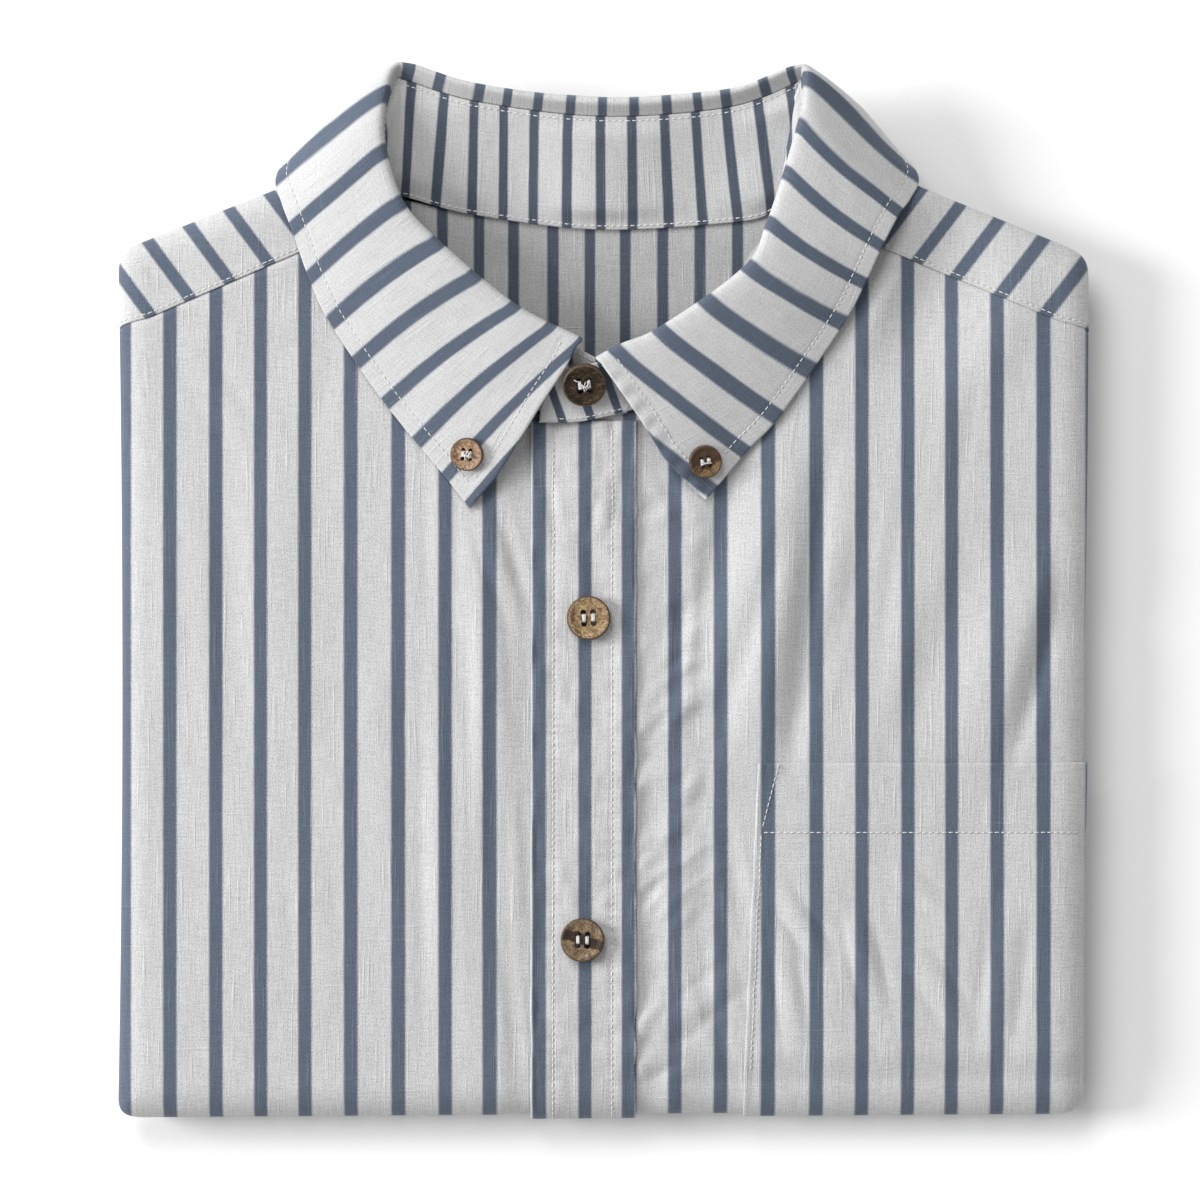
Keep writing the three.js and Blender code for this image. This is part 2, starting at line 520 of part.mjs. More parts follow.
const standLines = { base: [], top: [] };
const addStandEnd = (row) => {
  standLines.base.push(new THREE.Vector3(row.baseX, row.baseY, row.baseZ));
  standLines.top.push(new THREE.Vector3(row.topX, row.topY, row.topZ));
};
STAND_UNDER_END.forEach(addStandEnd);
for (let i = STAND_FROM + 1; i <= STAND_TO; i++) {
  const row = COLLAR[i];
  const frontZ = topHeight(row.baseX, row.baseY) + LEAF_REST;
  standLines.base.push(new THREE.Vector3(row.baseX, row.baseY, mix(frontZ, BACK_SEAM_HEIGHT, leanOf(row))));
  const top = leafLines.seam[i].clone();
  const way = top.clone().sub(standLines.base.at(-1)).normalize();
  top.addScaledVector(way, -GAP * 3);
  top.z -= GAP;
  standLines.top.push(top);
}
STAND_OUTER_END.forEach(addStandEnd);
const standBase = curve(standLines.base);
const standTop = curve(standLines.top);
const STAND_BOW = 0.6;
const STAND_STEPS = [0, 0.33, 0.67, 1];

function standPoint(alongStand, across) {
  const [low, high] = [standBase.getPoint(alongStand), standTop.getPoint(alongStand)];
  const bow = STAND_BOW * Math.sin(Math.PI * across);
  return low.lerp(high, across).add(new THREE.Vector3(0, 0, -bow));
}

const STAND_STATIONS = 2 * (standLines.base.length - 1);
const standStations = Array.from({ length: STAND_STATIONS + 1 }, (_, i) => i / STAND_STATIONS);
const standGrid = standStations.map((station) => STAND_STEPS.map((across) => standPoint(station, across)));

// ---- hidden layers ----
// Corners of the outline, each with the ways out of the two edges that meet there
function outlineCorners() {
  const [right, left] = [SHOULDER[-1], SHOULDER[1]];
  const edges = [
    { out: unit(0, -1), through: [0, HEM_Y], hem: true },
    { out: unit(1, 0), through: [HALF_WIDTH, 0] },
    { out: unit(left.slope, 1), through: [HALF_WIDTH, left.foldSide] },
    { out: unit(0, 1), through: [0, BACK_NECK_Y] },
    { out: unit(-right.slope, 1), through: [-HALF_WIDTH, right.foldSide] },
    { out: unit(-1, 0), through: [-HALF_WIDTH, 0] },
  ];
  return edges.map((edge, i) => {
    const next = edges[(i + 1) % edges.length];
    const [c1, c2] = [edge, next].map((e) => e.out.dot(new THREE.Vector2(...e.through)) - BASE_INSET);
    const det = edge.out.x * next.out.y - edge.out.y * next.out.x;
    const x = (c1 * next.out.y - c2 * edge.out.y) / det;
    const y = (edge.out.x * c2 - next.out.x * c1) / det;
    return { base: new THREE.Vector2(x, y), before: edge, after: next };
  });
}

// Points round the bundle: a base point, the way out of it, and the column of LEVELS it reads
const levelColumn = (edge) => (edge.hem ? "hem" : "side");
function outlineStations() {
  const corners = outlineCorners();
  const [turnSteps, edgeStep] = [4, 34];
  return corners.flatMap((corner, i) => {
    const next = corners[(i + 1) % corners.length];
    const turn = Array.from({ length: turnSteps + 1 }, (_, k) => {
      const angle = ((k / turnSteps) * Math.PI) / 2;
      const [a, b] = [Math.cos(angle), Math.sin(angle)];
      const size = (a ** CORNER_POWER + b ** CORNER_POWER) ** (1 / CORNER_POWER);
      const out = cornerReach(a / size, corner.before.out, b / size, corner.after.out);
      const isCorner = (corner.before.hem || corner.after.hem) && k > 0 && k < turnSteps;
      const nearest = k < turnSteps / 2 ? corner.before : corner.after;
      const place = isCorner ? "corner" : levelColumn(nearest);
      return { base: corner.base, out, place };
    });
    const steps = Math.round(corner.base.distanceTo(next.base) / edgeStep);
    const straight = Array.from({ length: Math.max(0, steps - 1) }, (_, k) => ({
      base: corner.base.clone().lerp(next.base, (k + 1) / steps),
      out: corner.after.out,
      place: levelColumn(corner.after),
    }));
    return [...turn, ...straight];
  });
}

function bundle() {
  const stations = outlineStations();
  const positions = [];
  LEVELS.forEach((level, k) => {
    stations.forEach(({ base, out, place }) => {
      const wave = LAYER_WAVE * (1 + Math.sin(base.x / 17 + base.y / 23 + Math.floor(k / 4) * 2));
      const inset = level[place] + (place === "side" && level.z < 9 ? wave : 0);
      const p = base.clone().addScaledVector(out, BASE_INSET - inset);
      positions.push(...settle(new THREE.Vector3(p.x, p.y, level.z)).toArray());
    });
  });
  const count = stations.length;
  const index = [];
  for (let k = 0; k + 1 < LEVELS.length; k++)
    for (let i = 0; i < count; i++) {
      const [a, b] = [k * count + i, k * count + ((i + 1) % count)];
      index.push(a, b, b + count, a, b + count, a + count);
    }
  const lid = (LEVELS.length - 1) * count;
  for (let i = 1; i + 1 < count; i++) index.push(0, i + 1, i, lid, lid + i, lid + i + 1);
  return toSolid(closedGeometry(positions, index));
}

// What is above the bundle: everything over the undersides of the fronts
function aboveBundle() {
  const xs = [-180, -152, -120, -77, -60, -38, -35, -31, -28, -25, 8.6, 11, 40, 80, 120, 152, 180];
  const ys = [-185, -164, -120, -70, -20, 30, 80, 110, 130, 165];
  const under = (x) => LAYER * (1 + (x > 10 ? 0 : dip(x)));
  const floor = (x, y) => new THREE.Vector3(x, y, domeHeight(x, y) - under(x) - 0.5);
  return toSolid(wall(xs.map((x) => ys.map((y) => floor(x, y))), 0, 12));
}

function neckHollow() {
  const shape = new THREE.Shape();
  const room = 2.2;
  const outline = NECKLINE.map(({ x, y }) => new THREE.Vector2(x + hand(x + 6) * room * 0.5, y - room));
  shape.moveTo(SHOULDER[-1].neckTopX - room, BACK_NECK_Y + 20);
  for (const p of outline) shape.lineTo(p.x, p.y);
  shape.lineTo(SHOULDER[1].neckTopX + room, BACK_NECK_Y + 20);
  shape.closePath();
  const geometry = new THREE.ExtrudeGeometry(shape, { depth: 30, bevelEnabled: false });
  return toSolid(geometry.translate(0, 0, HOLLOW_FLOOR));
}

// ---- buttons ----
function buttonGeometry({ radius, thick, rim, dish, hole, holeApart, sides }) {
  const profile = [
    [0, 0], [radius - rim, 0], [radius, rim], [radius, thick - rim], [radius - rim, thick],
    [radius * 0.78, thick - 0.1], [radius * 0.62, thick - dish], [0, thick - dish],
  ].map(([r, z]) => new THREE.Vector2(r, z));
  const disc = new THREE.LatheGeometry(profile, sides).rotateX(Math.PI / 2);
  let solid = toSolid(disc);
  for (const [dx, dy] of [[-1, -1], [1, -1], [1, 1], [-1, 1]]) {
    const drill = new THREE.CylinderGeometry(hole, hole, thick * 3, HOLE_SIDES).rotateX(Math.PI / 2);
    solid = solid.subtract(toSolid(drill.translate(dx * holeApart, dy * holeApart, 0)));
  }
  return toGeometry(solid);
}

// Sets a button on a surface, with its face along the surface's normal.
function seated(mesh, point, normal, lift) {
  mesh.quaternion.setFromUnitVectors(new THREE.Vector3(0, 0, 1), normal);
  mesh.position.copy(point).addScaledVector(normal, lift);
  return mesh;
}

// Finds the place of a surface under a point seen from above, and the way up from it.
function placeOn(surface, { x, y, along, across }) {
  const step = 0.002;
  let [a, b] = [along, across];
  for (let round = 0; round < 12; round++) {
    const p = surface(a, b);
    const u = surface(a + step, b).sub(p).divideScalar(step);
    const v = surface(a, b + step).sub(p).divideScalar(step);
    const det = u.x * v.y - u.y * v.x;
    a = clamp(a + ((x - p.x) * v.y - (y - p.y) * v.x) / det);
    b = clamp(b + ((y - p.y) * u.x - (x - p.x) * u.y) / det);
  }
  const point = surface(a, b);
  const normal = surface(a + step, b).sub(point).cross(surface(a, b + step).sub(point)).normalize();
  return { point, normal: normal.z < 0 ? normal.negate() : normal };
}

// ---- materials and assembly ----
const COTTON = { name: "striped_cotton", color: 0xdedede, roughness: 0.9, metalness: 0 };
const COLLAR_COTTON = { name: "collar_cotton", color: 0xdedede, roughness: 0.88, metalness: 0 };
const SHELL = { name: "coconut_shell", color: 0x6b4a2b, roughness: 0.5, metalness: 0 };

const shirt = new THREE.Group();
function add(name, geometry, look) {
  const mesh = new THREE.Mesh(geometry, new THREE.MeshStandardMaterial(look));
  mesh.name = name;
  shirt.add(mesh);
  return mesh;
}

add("hidden_layers", toGeometry(bundle().subtract(aboveBundle()).subtract(neckHollow())), COTTON);
const dipAt = (p) => LAYER * dip(p.x);
add("front_right", wall(frontGrid(-1, RIGHT_COLUMNS), (p) => CLOTH + dipAt(p), dipAt), COTTON);
add("front_left", wall(frontGrid(1, LEFT_COLUMNS), -CLOTH, 0), COTTON);
add("placket", wall(placketGrid(), GAP, GAP + PLACKET.thick), COTTON);
add("pocket", wall(pocketGrid(), GAP * 1.4, LAYER + GAP * 0.4), COTTON);
add("yoke_shoulder_right", wall(yokeGrid(-1), 0, CLOTH), COTTON);
add("yoke_shoulder_left", wall(yokeGrid(1), -CLOTH, 0), COTTON);
add("yoke_inside", wall(insideYokeGrid(), 0, CLOTH), COTTON);
const HALF_COLLAR = COLLAR_CLOTH / 2;
const nearTop = STAND_STEPS.at(-2);
const underLeaf = [leafFirst, ...leafStripes, leafLast].map((stripe) => standPoint(stationOf(stripe), nearTop));
const overStand = standStations.map((station) => leafAt(station, LEAF_STEPS[1]));
add("collar_leaf", wall(leafGrid(), -HALF_COLLAR, HALF_COLLAR, { before: underLeaf }), COLLAR_COTTON);
add("collar_stand", wall(standGrid, -HALF_COLLAR, HALF_COLLAR, { after: overStand }), COLLAR_COTTON);

const large = buttonGeometry(BUTTON);
for (const { name, x, y } of PLACKET_BUTTONS) {
  const point = settle(new THREE.Vector3(x, y, topHeight(x, y) + GAP + PLACKET.thick));
  seated(add(name, large, SHELL), point, new THREE.Vector3(0, 0, 1), GAP);
}
const onStand = placeOn(standPoint, STAND_BUTTON);
seated(add("button_stand", large, SHELL), onStand.point, onStand.normal, HALF_COLLAR + 2 * GAP);

const small = buttonGeometry(SMALL_BUTTON);
for (const spot of POINT_BUTTONS) {
  const { point, normal } = placeOn(leafAt, spot);
  seated(add(spot.name, small, SHELL), point, normal, HALF_COLLAR + GAP);
}

export default shirt;
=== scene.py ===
import math

import bpy
import numpy as np
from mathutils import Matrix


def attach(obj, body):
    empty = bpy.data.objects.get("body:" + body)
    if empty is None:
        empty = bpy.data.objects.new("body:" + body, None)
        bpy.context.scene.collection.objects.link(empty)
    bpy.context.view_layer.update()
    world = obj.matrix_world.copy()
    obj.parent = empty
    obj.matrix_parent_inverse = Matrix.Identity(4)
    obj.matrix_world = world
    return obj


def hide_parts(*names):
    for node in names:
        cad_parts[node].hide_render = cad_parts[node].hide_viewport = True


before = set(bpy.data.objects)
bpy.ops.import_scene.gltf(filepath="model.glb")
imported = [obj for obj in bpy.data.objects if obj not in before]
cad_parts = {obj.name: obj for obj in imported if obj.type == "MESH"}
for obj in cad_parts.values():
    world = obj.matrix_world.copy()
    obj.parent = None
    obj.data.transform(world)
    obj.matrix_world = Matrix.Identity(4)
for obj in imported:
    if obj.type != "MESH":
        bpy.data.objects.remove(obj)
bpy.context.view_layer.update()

# A short-sleeve button-down shirt, folded for the shelf. Sizes are in millimetres in the tables
# and in metres in the meshes. +X is the wearer's left, +Y runs from the hem fold to the collar,
# and +Z is up.
MM = 0.001

# ---- sizes that the pieces share ----
HALF_WIDTH = 162.0
HEM_Y = -175.8
# Height of the top beside its folds, how far it rises to its middle, and the room below the hem
EDGE_TOP = 19.0
DOME = 2.5
UNDER_HEM = 1.9
# A fold: how far it stands out from the flat top, its depth above and below its outermost line,
# how far it goes back underneath, and the flat end there
SIDE_FOLD = dict(out=10.0, above=5.0, under=6.0, below=4.6, flat=1.5)
HEM_FOLD = dict(out=11.0, above=8.55, under=5.0, below=8.55, flat=4.0)
# How square the corner of two folds is: 2 would be round
CORNER_POWER = 4
# The shares of a fold at its outermost line, and where it turns flat underneath
TURN = 0.45
TUCK = 0.87
SIDE_START = HALF_WIDTH - SIDE_FOLD["out"]
HEM_START = HEM_Y + HEM_FOLD["out"]
# How the whole stack lies: drawn in at the waist and to the hem, with a hem that rises towards +X
LIE = dict(waist_y=-30, waist_reach=140, waist=1.3, taper=2.7, taper_y=110, taper_reach=280,
           hem_rise=1.15, hem_y=-100, hem_reach=75)
# The top sinks beside the hem, most towards +X
LOW_HEM = dict(drop=2.8, y=11, reach=13, x=-60, width=110)

CLOTH = 0.55
INSIDE_CLOTH = 0.5
STAND_CLOTH = 1.2
COLLAR_CLOTH = 1.3
PLACKET = dict(left=-24.3, right=11.0, top=57.2, lift=1.45, thick=1.15)
PLACKET_STITCHES = (-16.8, 2.8)
OVERLAP = dict(lap=1.0, dip_start=-36.0, dip_end=-25.5)
POCKET = dict(top=-56.9, inside_top=52.0, inside_hem=47.5, side_share=0.62, hem_share=0.74,
              lift=1.1, thick=0.9, hem=23.4, margin=2.2, slant=7.2)
SEAM_DROP = 8.0
SHOULDER = {
    -1: dict(seam_side=91.2, seam_neck=123.5, neck_x=-77.0, neck_top_x=-81.0,
             fold_side=113.5, slope=0.394),
    1: dict(seam_side=90.2, seam_neck=126.3, neck_x=64.0, neck_top_x=73.0,
            fold_side=112.2, slope=0.409),
}
# The cloth of a front that goes on under the yoke: its width, and how far it dips there
UNDER_YOKE = dict(margin=1.4, dip=0.62, reach=1.2)
YOKE_STITCH = 1.6
NECKLINE = [
    (-77, 123.5), (-76, 108), (-74, 98), (-68.3, 85.5), (-60, 76.5), (-51, 69.5), (-38, 63.5),
    (-22.5, 59.5), (-6.3, 58), (9, 60.2), (25.7, 66.5), (42.3, 75.5), (55.7, 89.5), (61, 99),
    (63.2, 110), (64, 126.3),
]
INSIDE_YOKE = dict(low=12.0, left=-75.5, right=60.0, back=124.0, back_lift=9.5, inset=3.0,
                   meets=14, below_seam=1.15, highest=16.8)

# Unevenness of the pieces, in layers: height, size across, size along, and seed
UNEVEN = dict(
    top=[(0.28, 24, 38, 3), (0.13, 11, 20, 9)],
    pocket=[(0.16, 12, 20, 21), (0.07, 5, 7, 22)],
    inside_yoke=[(0.35, 16, 30, 41), (0.15, 6, 14, 42)],
    leaf=[(0.13, 11, 13, 51), (0.05, 4, 5, 52)],
    stand=[(0.16, 14, 12, 61), (0.06, 4, 7, 62)],
)

# Soft folds of the fronts, by the ends of their ridges: the large ones first, then the creases
FOLDS = [
    (52, 28, 22, -66, 8, 1.1), (80, 34, 46, -62, 10, 0.9), (26, -40, 26, -168, 7, 0.7),
    (118, 30, 96, -50, 12, 0.6), (-46, 30, -34, -60, 7, 0.9), (-52, -50, -44, -160, 9, 0.7),
    (-112, 70, -104, -60, 13, 0.6),
]
CREASES = [
    (-55, 54, -54, -14, 4.0, 0.60), (-56, -4, -55, -168, 4.2, 0.65), (-42, 16, -41, -104, 3.0, 0.5),
    (-41, 26, -27, -14, 3.6, 0.8), (-35, 30, -27, 0, 2.6, -0.5), (-31, 4, -27, -48, 2.6, 0.4),
    (-30, -60, -28, -124, 2.6, 0.45), (-33, -112, -28, -170, 2.8, -0.4),
    (-76, -20, -72, -110, 6.0, 0.3), (12, -104, 44, -84, 3.4, -0.5), (18, -150, 50, -124, 4.6, 0.7),
    (27, 12, 25, -38, 3.0, -0.6), (14, 50, 30, 18, 3.0, -0.5), (64, 58, 50, -66, 9, 3.7, 15),
    (92, 60, 82, -30, 5.0, -0.3), (150, 22, 126, -62, 7.5, 2.6, 18), (38, 12, 30, -46, 4.0, -0.5),
    (121, 126, 96, 68, 20, -2.7, 11), (120, 84, 112, 30, 5.0, 0.35), (104, 30, 98, -50, 5.0, 0.3),
    (34, -100, 46, -150, 3.8, 0.5), (30, -122, 45, -166, 3.0, -0.45),
    (40, -70, 49, -122, 3.4, -0.55), (58, -98, 76, -124, 3.6, 1.1), (60, -112, 66, -158, 3.4, 0.85),
    (84, -104, 94, -146, 4.0, 1.0), (96, -92, 118, -108, 3.6, 0.85),
    (104, -118, 124, -150, 4.4, 0.85), (138, -100, 132, -160, 5.0, 0.8),
    (-90, 96, -98, 40, 5.0, -0.3), (-140, 82, -118, 46, 5.0, 0.35), (-150, 40, -146, -40, 5.0, 0.3),
    (-128, 40, -124, -70, 6.0, -0.3), (-100, -70, -94, -150, 6.0, 0.3),
    (-20, 40, -14, 12, 2.4, -0.3), (4, 44, -2, 16, 2.4, 0.3),
]

# Centres of the stripes across each piece
FRONT_RIGHT_STRIPES = [
    -159.8, -144.6, -129.2, -114.3, -99.6, -84.3, -68.4, -52.7, -38.2, -20.5, -5.0, 10.0,
]
FRONT_LEFT_STRIPES = [
    -21.0, -6.0, 8.6, 23.8, 39.0, 54.8, 71.0, 86.1, 101.5, 116.0, 131.2, 146.6, 163.3,
]
PLACKET_STRIPES = [-36.5, -21.4, -6.1, 8.2, 23.0]
STAND_STRIPES_LOW = [
    -66.2, -56.2, -43.8, -33.5, -23.6, -12.2, -0.8, 9.6, 22.0, 33.2, 45.1, 56.0, 67.0,
]
STAND_STRIPES_HIGH = [
    -63.8, -52.8, -43.0, -33.2, -23.0, -11.8, -1.0, 9.3, 20.2, 30.6, 40.7, 51.2, 62.0,
]
INSIDE_YOKE_STRIPES = [-66.0, -53.8, -41.5, -30.2, -16.8, -4.5, 7.2, 19.8, 32.2, 44.8, 57.2]
STRIPE_PITCH = 15.2
STAND_PITCH = 10.7
# How far the pieces lie apart on the flat cloth, so that no two have the same slubs
CUT_APART = dict(pocket=400, leaf=300, stand=600, hidden=900, underside=1500)

# The collar, a row for each station from the wearer's right point round the neck to the left:
# the stripe there, the line it folds over on, the outer edge of the leaf, and the neck seam
COLLAR = [
    (-8, 3, 76.5, -42.7, 25.2, 3, 59), (-7, -7.7, 83.8, -52.7, 38.2, -11, 58.5),
    (-5, -29.7, 95.5, -72.7, 62.5, -36, 63.5), (-3, -54.3, 116.2, -90.7, 88.8, -64, 81.5),
    (-2, -66.3, 129.5, -98, 104.2, -73, 96.5), (-1, -71.7, 145.5, -103.7, 120.2, -76, 111),
    (-0.4, -72.7, 155.5, -107, 129.2, -76, 119), (0, -72.7, 164.5, -109, 137.5, -74.3, 126.5),
    (0.5, -71.2, 173.4, -103, 145.5, -71, 130.5), (1, -63.8, 175.6, -80, 152, -66, 131.5),
    (3, -40.3, 168.8, -44, 154, -43.7, 125.8), (7, -0.3, 164.1, -0.3, 153.5, -1, 120.8),
    (11, 39.7, 166.9, 44, 154, 46, 123.5), (13, 62, 174.6, 80, 152, 57, 127),
    (13.5, 68.4, 173.2, 98, 145.5, 60.5, 125), (14, 67.5, 166.2, 105, 138, 61.4, 120),
    (14.5, 66, 161, 102, 130.5, 61.6, 114), (15, 64.5, 155.8, 98.3, 125.5, 64, 109),
    (16, 59.7, 139.2, 92.7, 114.8, 60, 97), (17, 54, 122.5, 87, 102.5, 53, 86),
    (18, 47, 108.5, 79.7, 88.8, 43, 76), (20, 19.3, 88.2, 58.7, 58.5, 20, 64),
    (21, 4, 81.2, 47.3, 46.2, 8, 60), (22.5, -18, 68, 31, 26.5, -8, 57),
]
# Where the leaf goes down behind the shirt: stripe, height of its edge, and how far it leans away
COLLAR_BACK = {
    -0.4: (20.4, 0), 0: (16, 0.25), 0.5: (9, 0.65), 1: (3, 1), 3: (1.2, 1), 7: (1.2, 1), 11: (1.2, 1),
    13: (3, 1), 13.5: (9, 0.65), 14: (16, 0.25), 14.5: (20.4, 0),
}
ROLL_HEIGHT = (32.4, 30.0)
LEAF_REST = 1.25
# How far the edge of the leaf stands off the shoulder, by stripe
LEAF_LIFT = [
    (-8, 0), (-4, 0), (-2, 1.0), (-1, 1.6), (14.5, 3.0), (15, 4.6), (16, 5.0), (17, 3.2), (18, 1.2),
    (20, 0),
]
# Lines of the leaf beside the one it folds over on, at the front and at the back of the neck
BACK_SEAM_HEIGHT = 14.9
SEAM_SHIFT = (0.6, -5.2)
SEAM_DOWN = (4.4, 3.4)
CREST_SHIFT = (2.6, -0.9)
BELLY = (1.6, 4.4)
LEAF_STITCH = 5.4
LEAF_FRONT_RIGHT = [
    (27, -44.4), (30.5, -42.2), (38.2, -35.5), (50.5, -27.8), (62.8, -20.2), (74.8, -12.2),
    (85.8, -6.8),
]
LEAF_FRONT_LEFT = [
    (28.2, 36.5), (36.2, 27.8), (44.8, 19.8), (57.2, 12.2), (68.2, 4.5), (74.8, -0.2), (82, -2.6),
]
# The ends of the stand cross at the front: base and top points, wearer's right end first
STAND_UNDER_END = [((8, 59.5, 22.1), (5, 76.5, 26.0)), ((-3, 58.6, 22.1), (-3, 78, 26.8))]
STAND_OUTER_END = [((-5, 57, 23.9), (-2, 76.2, 29.6)), ((-21.5, 56.2, 23.9), (-19, 76.5, 29.6))]
STAND_BOW = 0.6
STAND_STITCH = 1.5
# Where the waves of the stand rise and fall: place across the neck, height
STAND_WAVES = [(-72, 1.2), (-62, 1.4), (-27, 0.0), (-1, 2.6), (33, 0.0), (60, 2.2), (72, 1.6)]

# Buttons: place from above, kind of shell, and how far the holes are turned
BUTTONS = [
    dict(node="button_front_1", x=-5.0, y=-8.8, radius=7.3, shell="pale", turn=4, on="placket"),
    dict(node="button_front_2", x=-7.0, y=-116.2, radius=7.3, shell="banded", turn=-3, on="placket"),
    dict(node="button_stand", x=-6.5, y=69.6, radius=7.3, shell="dark", turn=10, on="stand"),
    dict(node="button_collar_right", x=-45.1, y=45.9, radius=5.5, shell="ruddy", turn=-6, on="leaf"),
    dict(node="button_collar_left", x=33.5, y=43.5, radius=5.5, shell="brown", turn=14, on="leaf"),
]
# Colours of the shell: face, dark grain and pale grain
SHELLS = dict(
    pale=((0.36, 0.245, 0.125), (0.085, 0.045, 0.022), (0.56, 0.44, 0.27)),
    banded=((0.235, 0.165, 0.095), (0.055, 0.032, 0.018), (0.38, 0.29, 0.18)),
    dark=((0.040, 0.024, 0.011), (0.008, 0.005, 0.004), (0.17, 0.105, 0.050)),
    ruddy=((0.35, 0.225, 0.135), (0.10, 0.048, 0.030), (0.66, 0.52, 0.38)),
    brown=((0.20, 0.120, 0.055), (0.035, 0.018, 0.011), (0.42, 0.30, 0.13)),
)


# ---- numbers ----
def mix(a, b, t):
    return a + (b - a) * t


def clamp(t):
    return np.clip(t, 0.0, 1.0)


def smooth(t):
    t = clamp(t)
    return t * t * (3 - 2 * t)


def band(value, start, rise, stop, fall):
    """1 between start and stop, with soft ends of their own lengths."""
    return smooth((value - start) / rise) * smooth((stop - value) / fall)


def ridge(off, width):
    """1 on a line, falling softly to 0 beside it."""
    return np.exp(-(off / width) ** 2)


def read_table(table, value):
    xs, ys = np.array(table, dtype=float).T
    return np.interp(value, xs, ys)


def read_softly(table, value):
    """Reads a table with soft turns at its rows."""
    xs, ys = np.array(table, dtype=float).T
    k = np.clip(np.searchsorted(xs, value) - 1, 0, len(xs) - 2)
    return mix(ys[k], ys[k + 1], smooth((value - xs[k]) / (xs[k + 1] - xs[k])))


def stripe_index(centres, u, pitch=STRIPE_PITCH):
    """Which stripe u is at, with the first centre as 0, going on beyond both ends."""
    at = np.interp(u, centres, np.arange(len(centres), dtype=float))
    before = (np.minimum(u, centres[0]) - centres[0]) / pitch
    after = (np.maximum(u, centres[-1]) - centres[-1]) / pitch
    return at + before + after


def paired(a, b):
    return np.broadcast_arrays(np.asarray(a, dtype=float), np.asarray(b, dtype=float))


def rough(x, y, seed):
    """Smooth unevenness between -1 and 1, about one bump for each unit of x and y."""
    count = 64
    grid = np.random.RandomState(seed).rand(count, count) * 2 - 1
    x, y = paired(x, y)
    i, j = np.floor(x).astype(int), np.floor(y).astype(int)
    a, b = smooth(x - i), smooth(y - j)
    at = lambda p, q: grid[p % count, q % count]
    return mix(mix(at(i, j), at(i + 1, j), a), mix(at(i, j + 1), at(i + 1, j + 1), a), b)


def uneven(x, y, layers):
    """Unevenness in layers of height, size across, size along, and seed."""
    return sum(height * rough(x / across, y / along, seed) for height, across, along, seed in layers)


def bend(p0, p1, p2, p3, w):
    """From p1 at w 0 to p2 at w 1, on a smooth line through four points."""
    t0, t1 = (p2 - p0) / 2, (p3 - p1) / 2
    cubic, square = 2 * p1 - 2 * p2 + t0 + t1, 3 * p2 - 3 * p1 - 2 * t0 - t1
    return cubic * w ** 3 + square * w ** 2 + t0 * w + p1


def through(points, t):
    """A smooth line through points, with t from 0 at the first to 1 at the last."""
    points = np.asarray(points, dtype=float)
    last = len(points) - 1
    at = clamp(np.asarray(t, dtype=float)) * last
    k = np.minimum(np.floor(at).astype(int), last - 1)
    padded = np.concatenate([[2 * points[0] - points[1]], points, [2 * points[-1] - points[-2]]])
    return bend(*(padded[k + i] for i in range(4)), (at - k)[..., None])


def length_along(p, axis=0):
    """Length from the first line of points to each, along one way of a grid or a single line."""
    steps = np.linalg.norm(np.diff(p, axis=axis), axis=-1)
    start = np.zeros_like(np.take(steps, [0], axis=axis))
    return np.concatenate([start, np.cumsum(steps, axis=axis)], axis=axis)


# ---- the folded surface ----
def settle(p):
    """Moves points of the flat layout to where they lie in the stack."""
    x, y, z = p[..., 0], p[..., 1], p[..., 2]
    waist = np.maximum(0, 1 - ((y - LIE["waist_y"]) / LIE["waist_reach"]) ** 2) * LIE["waist"]
    taper = LIE["taper"] * smooth((LIE["taper_y"] - y) / LIE["taper_reach"])
    lift = LIE["hem_rise"] * (x / HALF_WIDTH + 1) * smooth((LIE["hem_y"] - y) / LIE["hem_reach"])
    return np.stack([x * (1 - np.where(x < 0, waist, taper) / HALF_WIDTH), y + lift, z], axis=-1)


def fold_height(fold, x, y):
    """Height of a soft fold. A seventh number is the width of its slope towards -X."""
    x0, y0, x1, y1, width, height, *far_width = fold
    dx, dy = x1 - x0, y1 - y0
    length = math.hypot(dx, dy)
    t = ((x - x0) * dx + (y - y0) * dy) / length ** 2
    off = ((x - x0) * dy - (y - y0) * dx) / length
    far = off * (-1 if dy > 0 else 1) > 0
    off = np.abs(off) / np.where(far, far_width[0] if far_width else width, width)
    rise = height * np.sin(np.pi * clamp(t)) * np.cos(np.pi * off / 2) * smooth(2 - off)
    return np.where(off < 2, rise, 0)


def rumple(x, y):
    """Small uneven folds beside the placket, running up and towards +X."""
    zone = band(x, 9, 4, 40, 16) * band(y, -174, 12, 44, 24)
    along = 0.80 * x + 0.60 * y
    over = 0.80 * y - 0.60 * x + 3.5 * rough(x / 13, y / 21, 7)
    strength = 0.75 + 0.45 * rough(x / 17, y / 23, 8)
    return zone * strength * uneven(along, over, [(1.5, 15, 6.2, 5), (0.55, 8, 3.4, 6)])


def top_height(x, y, creased=True):
    across = np.maximum(0, 1 - np.abs(x / SIDE_START) ** 2.5)
    lengthwise = np.maximum(0, 1 - np.abs((y + 20) / 150) ** 2.5)
    height = EDGE_TOP + DOME * across * lengthwise
    for fold in FOLDS + (CREASES if creased else []):
        height = height + fold_height(fold, x, y)
    if creased:
        low = smooth((HEM_START + LOW_HEM["y"] - y) / LOW_HEM["reach"])
        height = height + uneven(x, y, UNEVEN["top"]) + rumple(x, y) + 0.05 * rough(x / 5, y / 13, 4)
        height = height - LOW_HEM["drop"] * low * smooth((x - LOW_HEM["x"]) / LOW_HEM["width"])
    return height


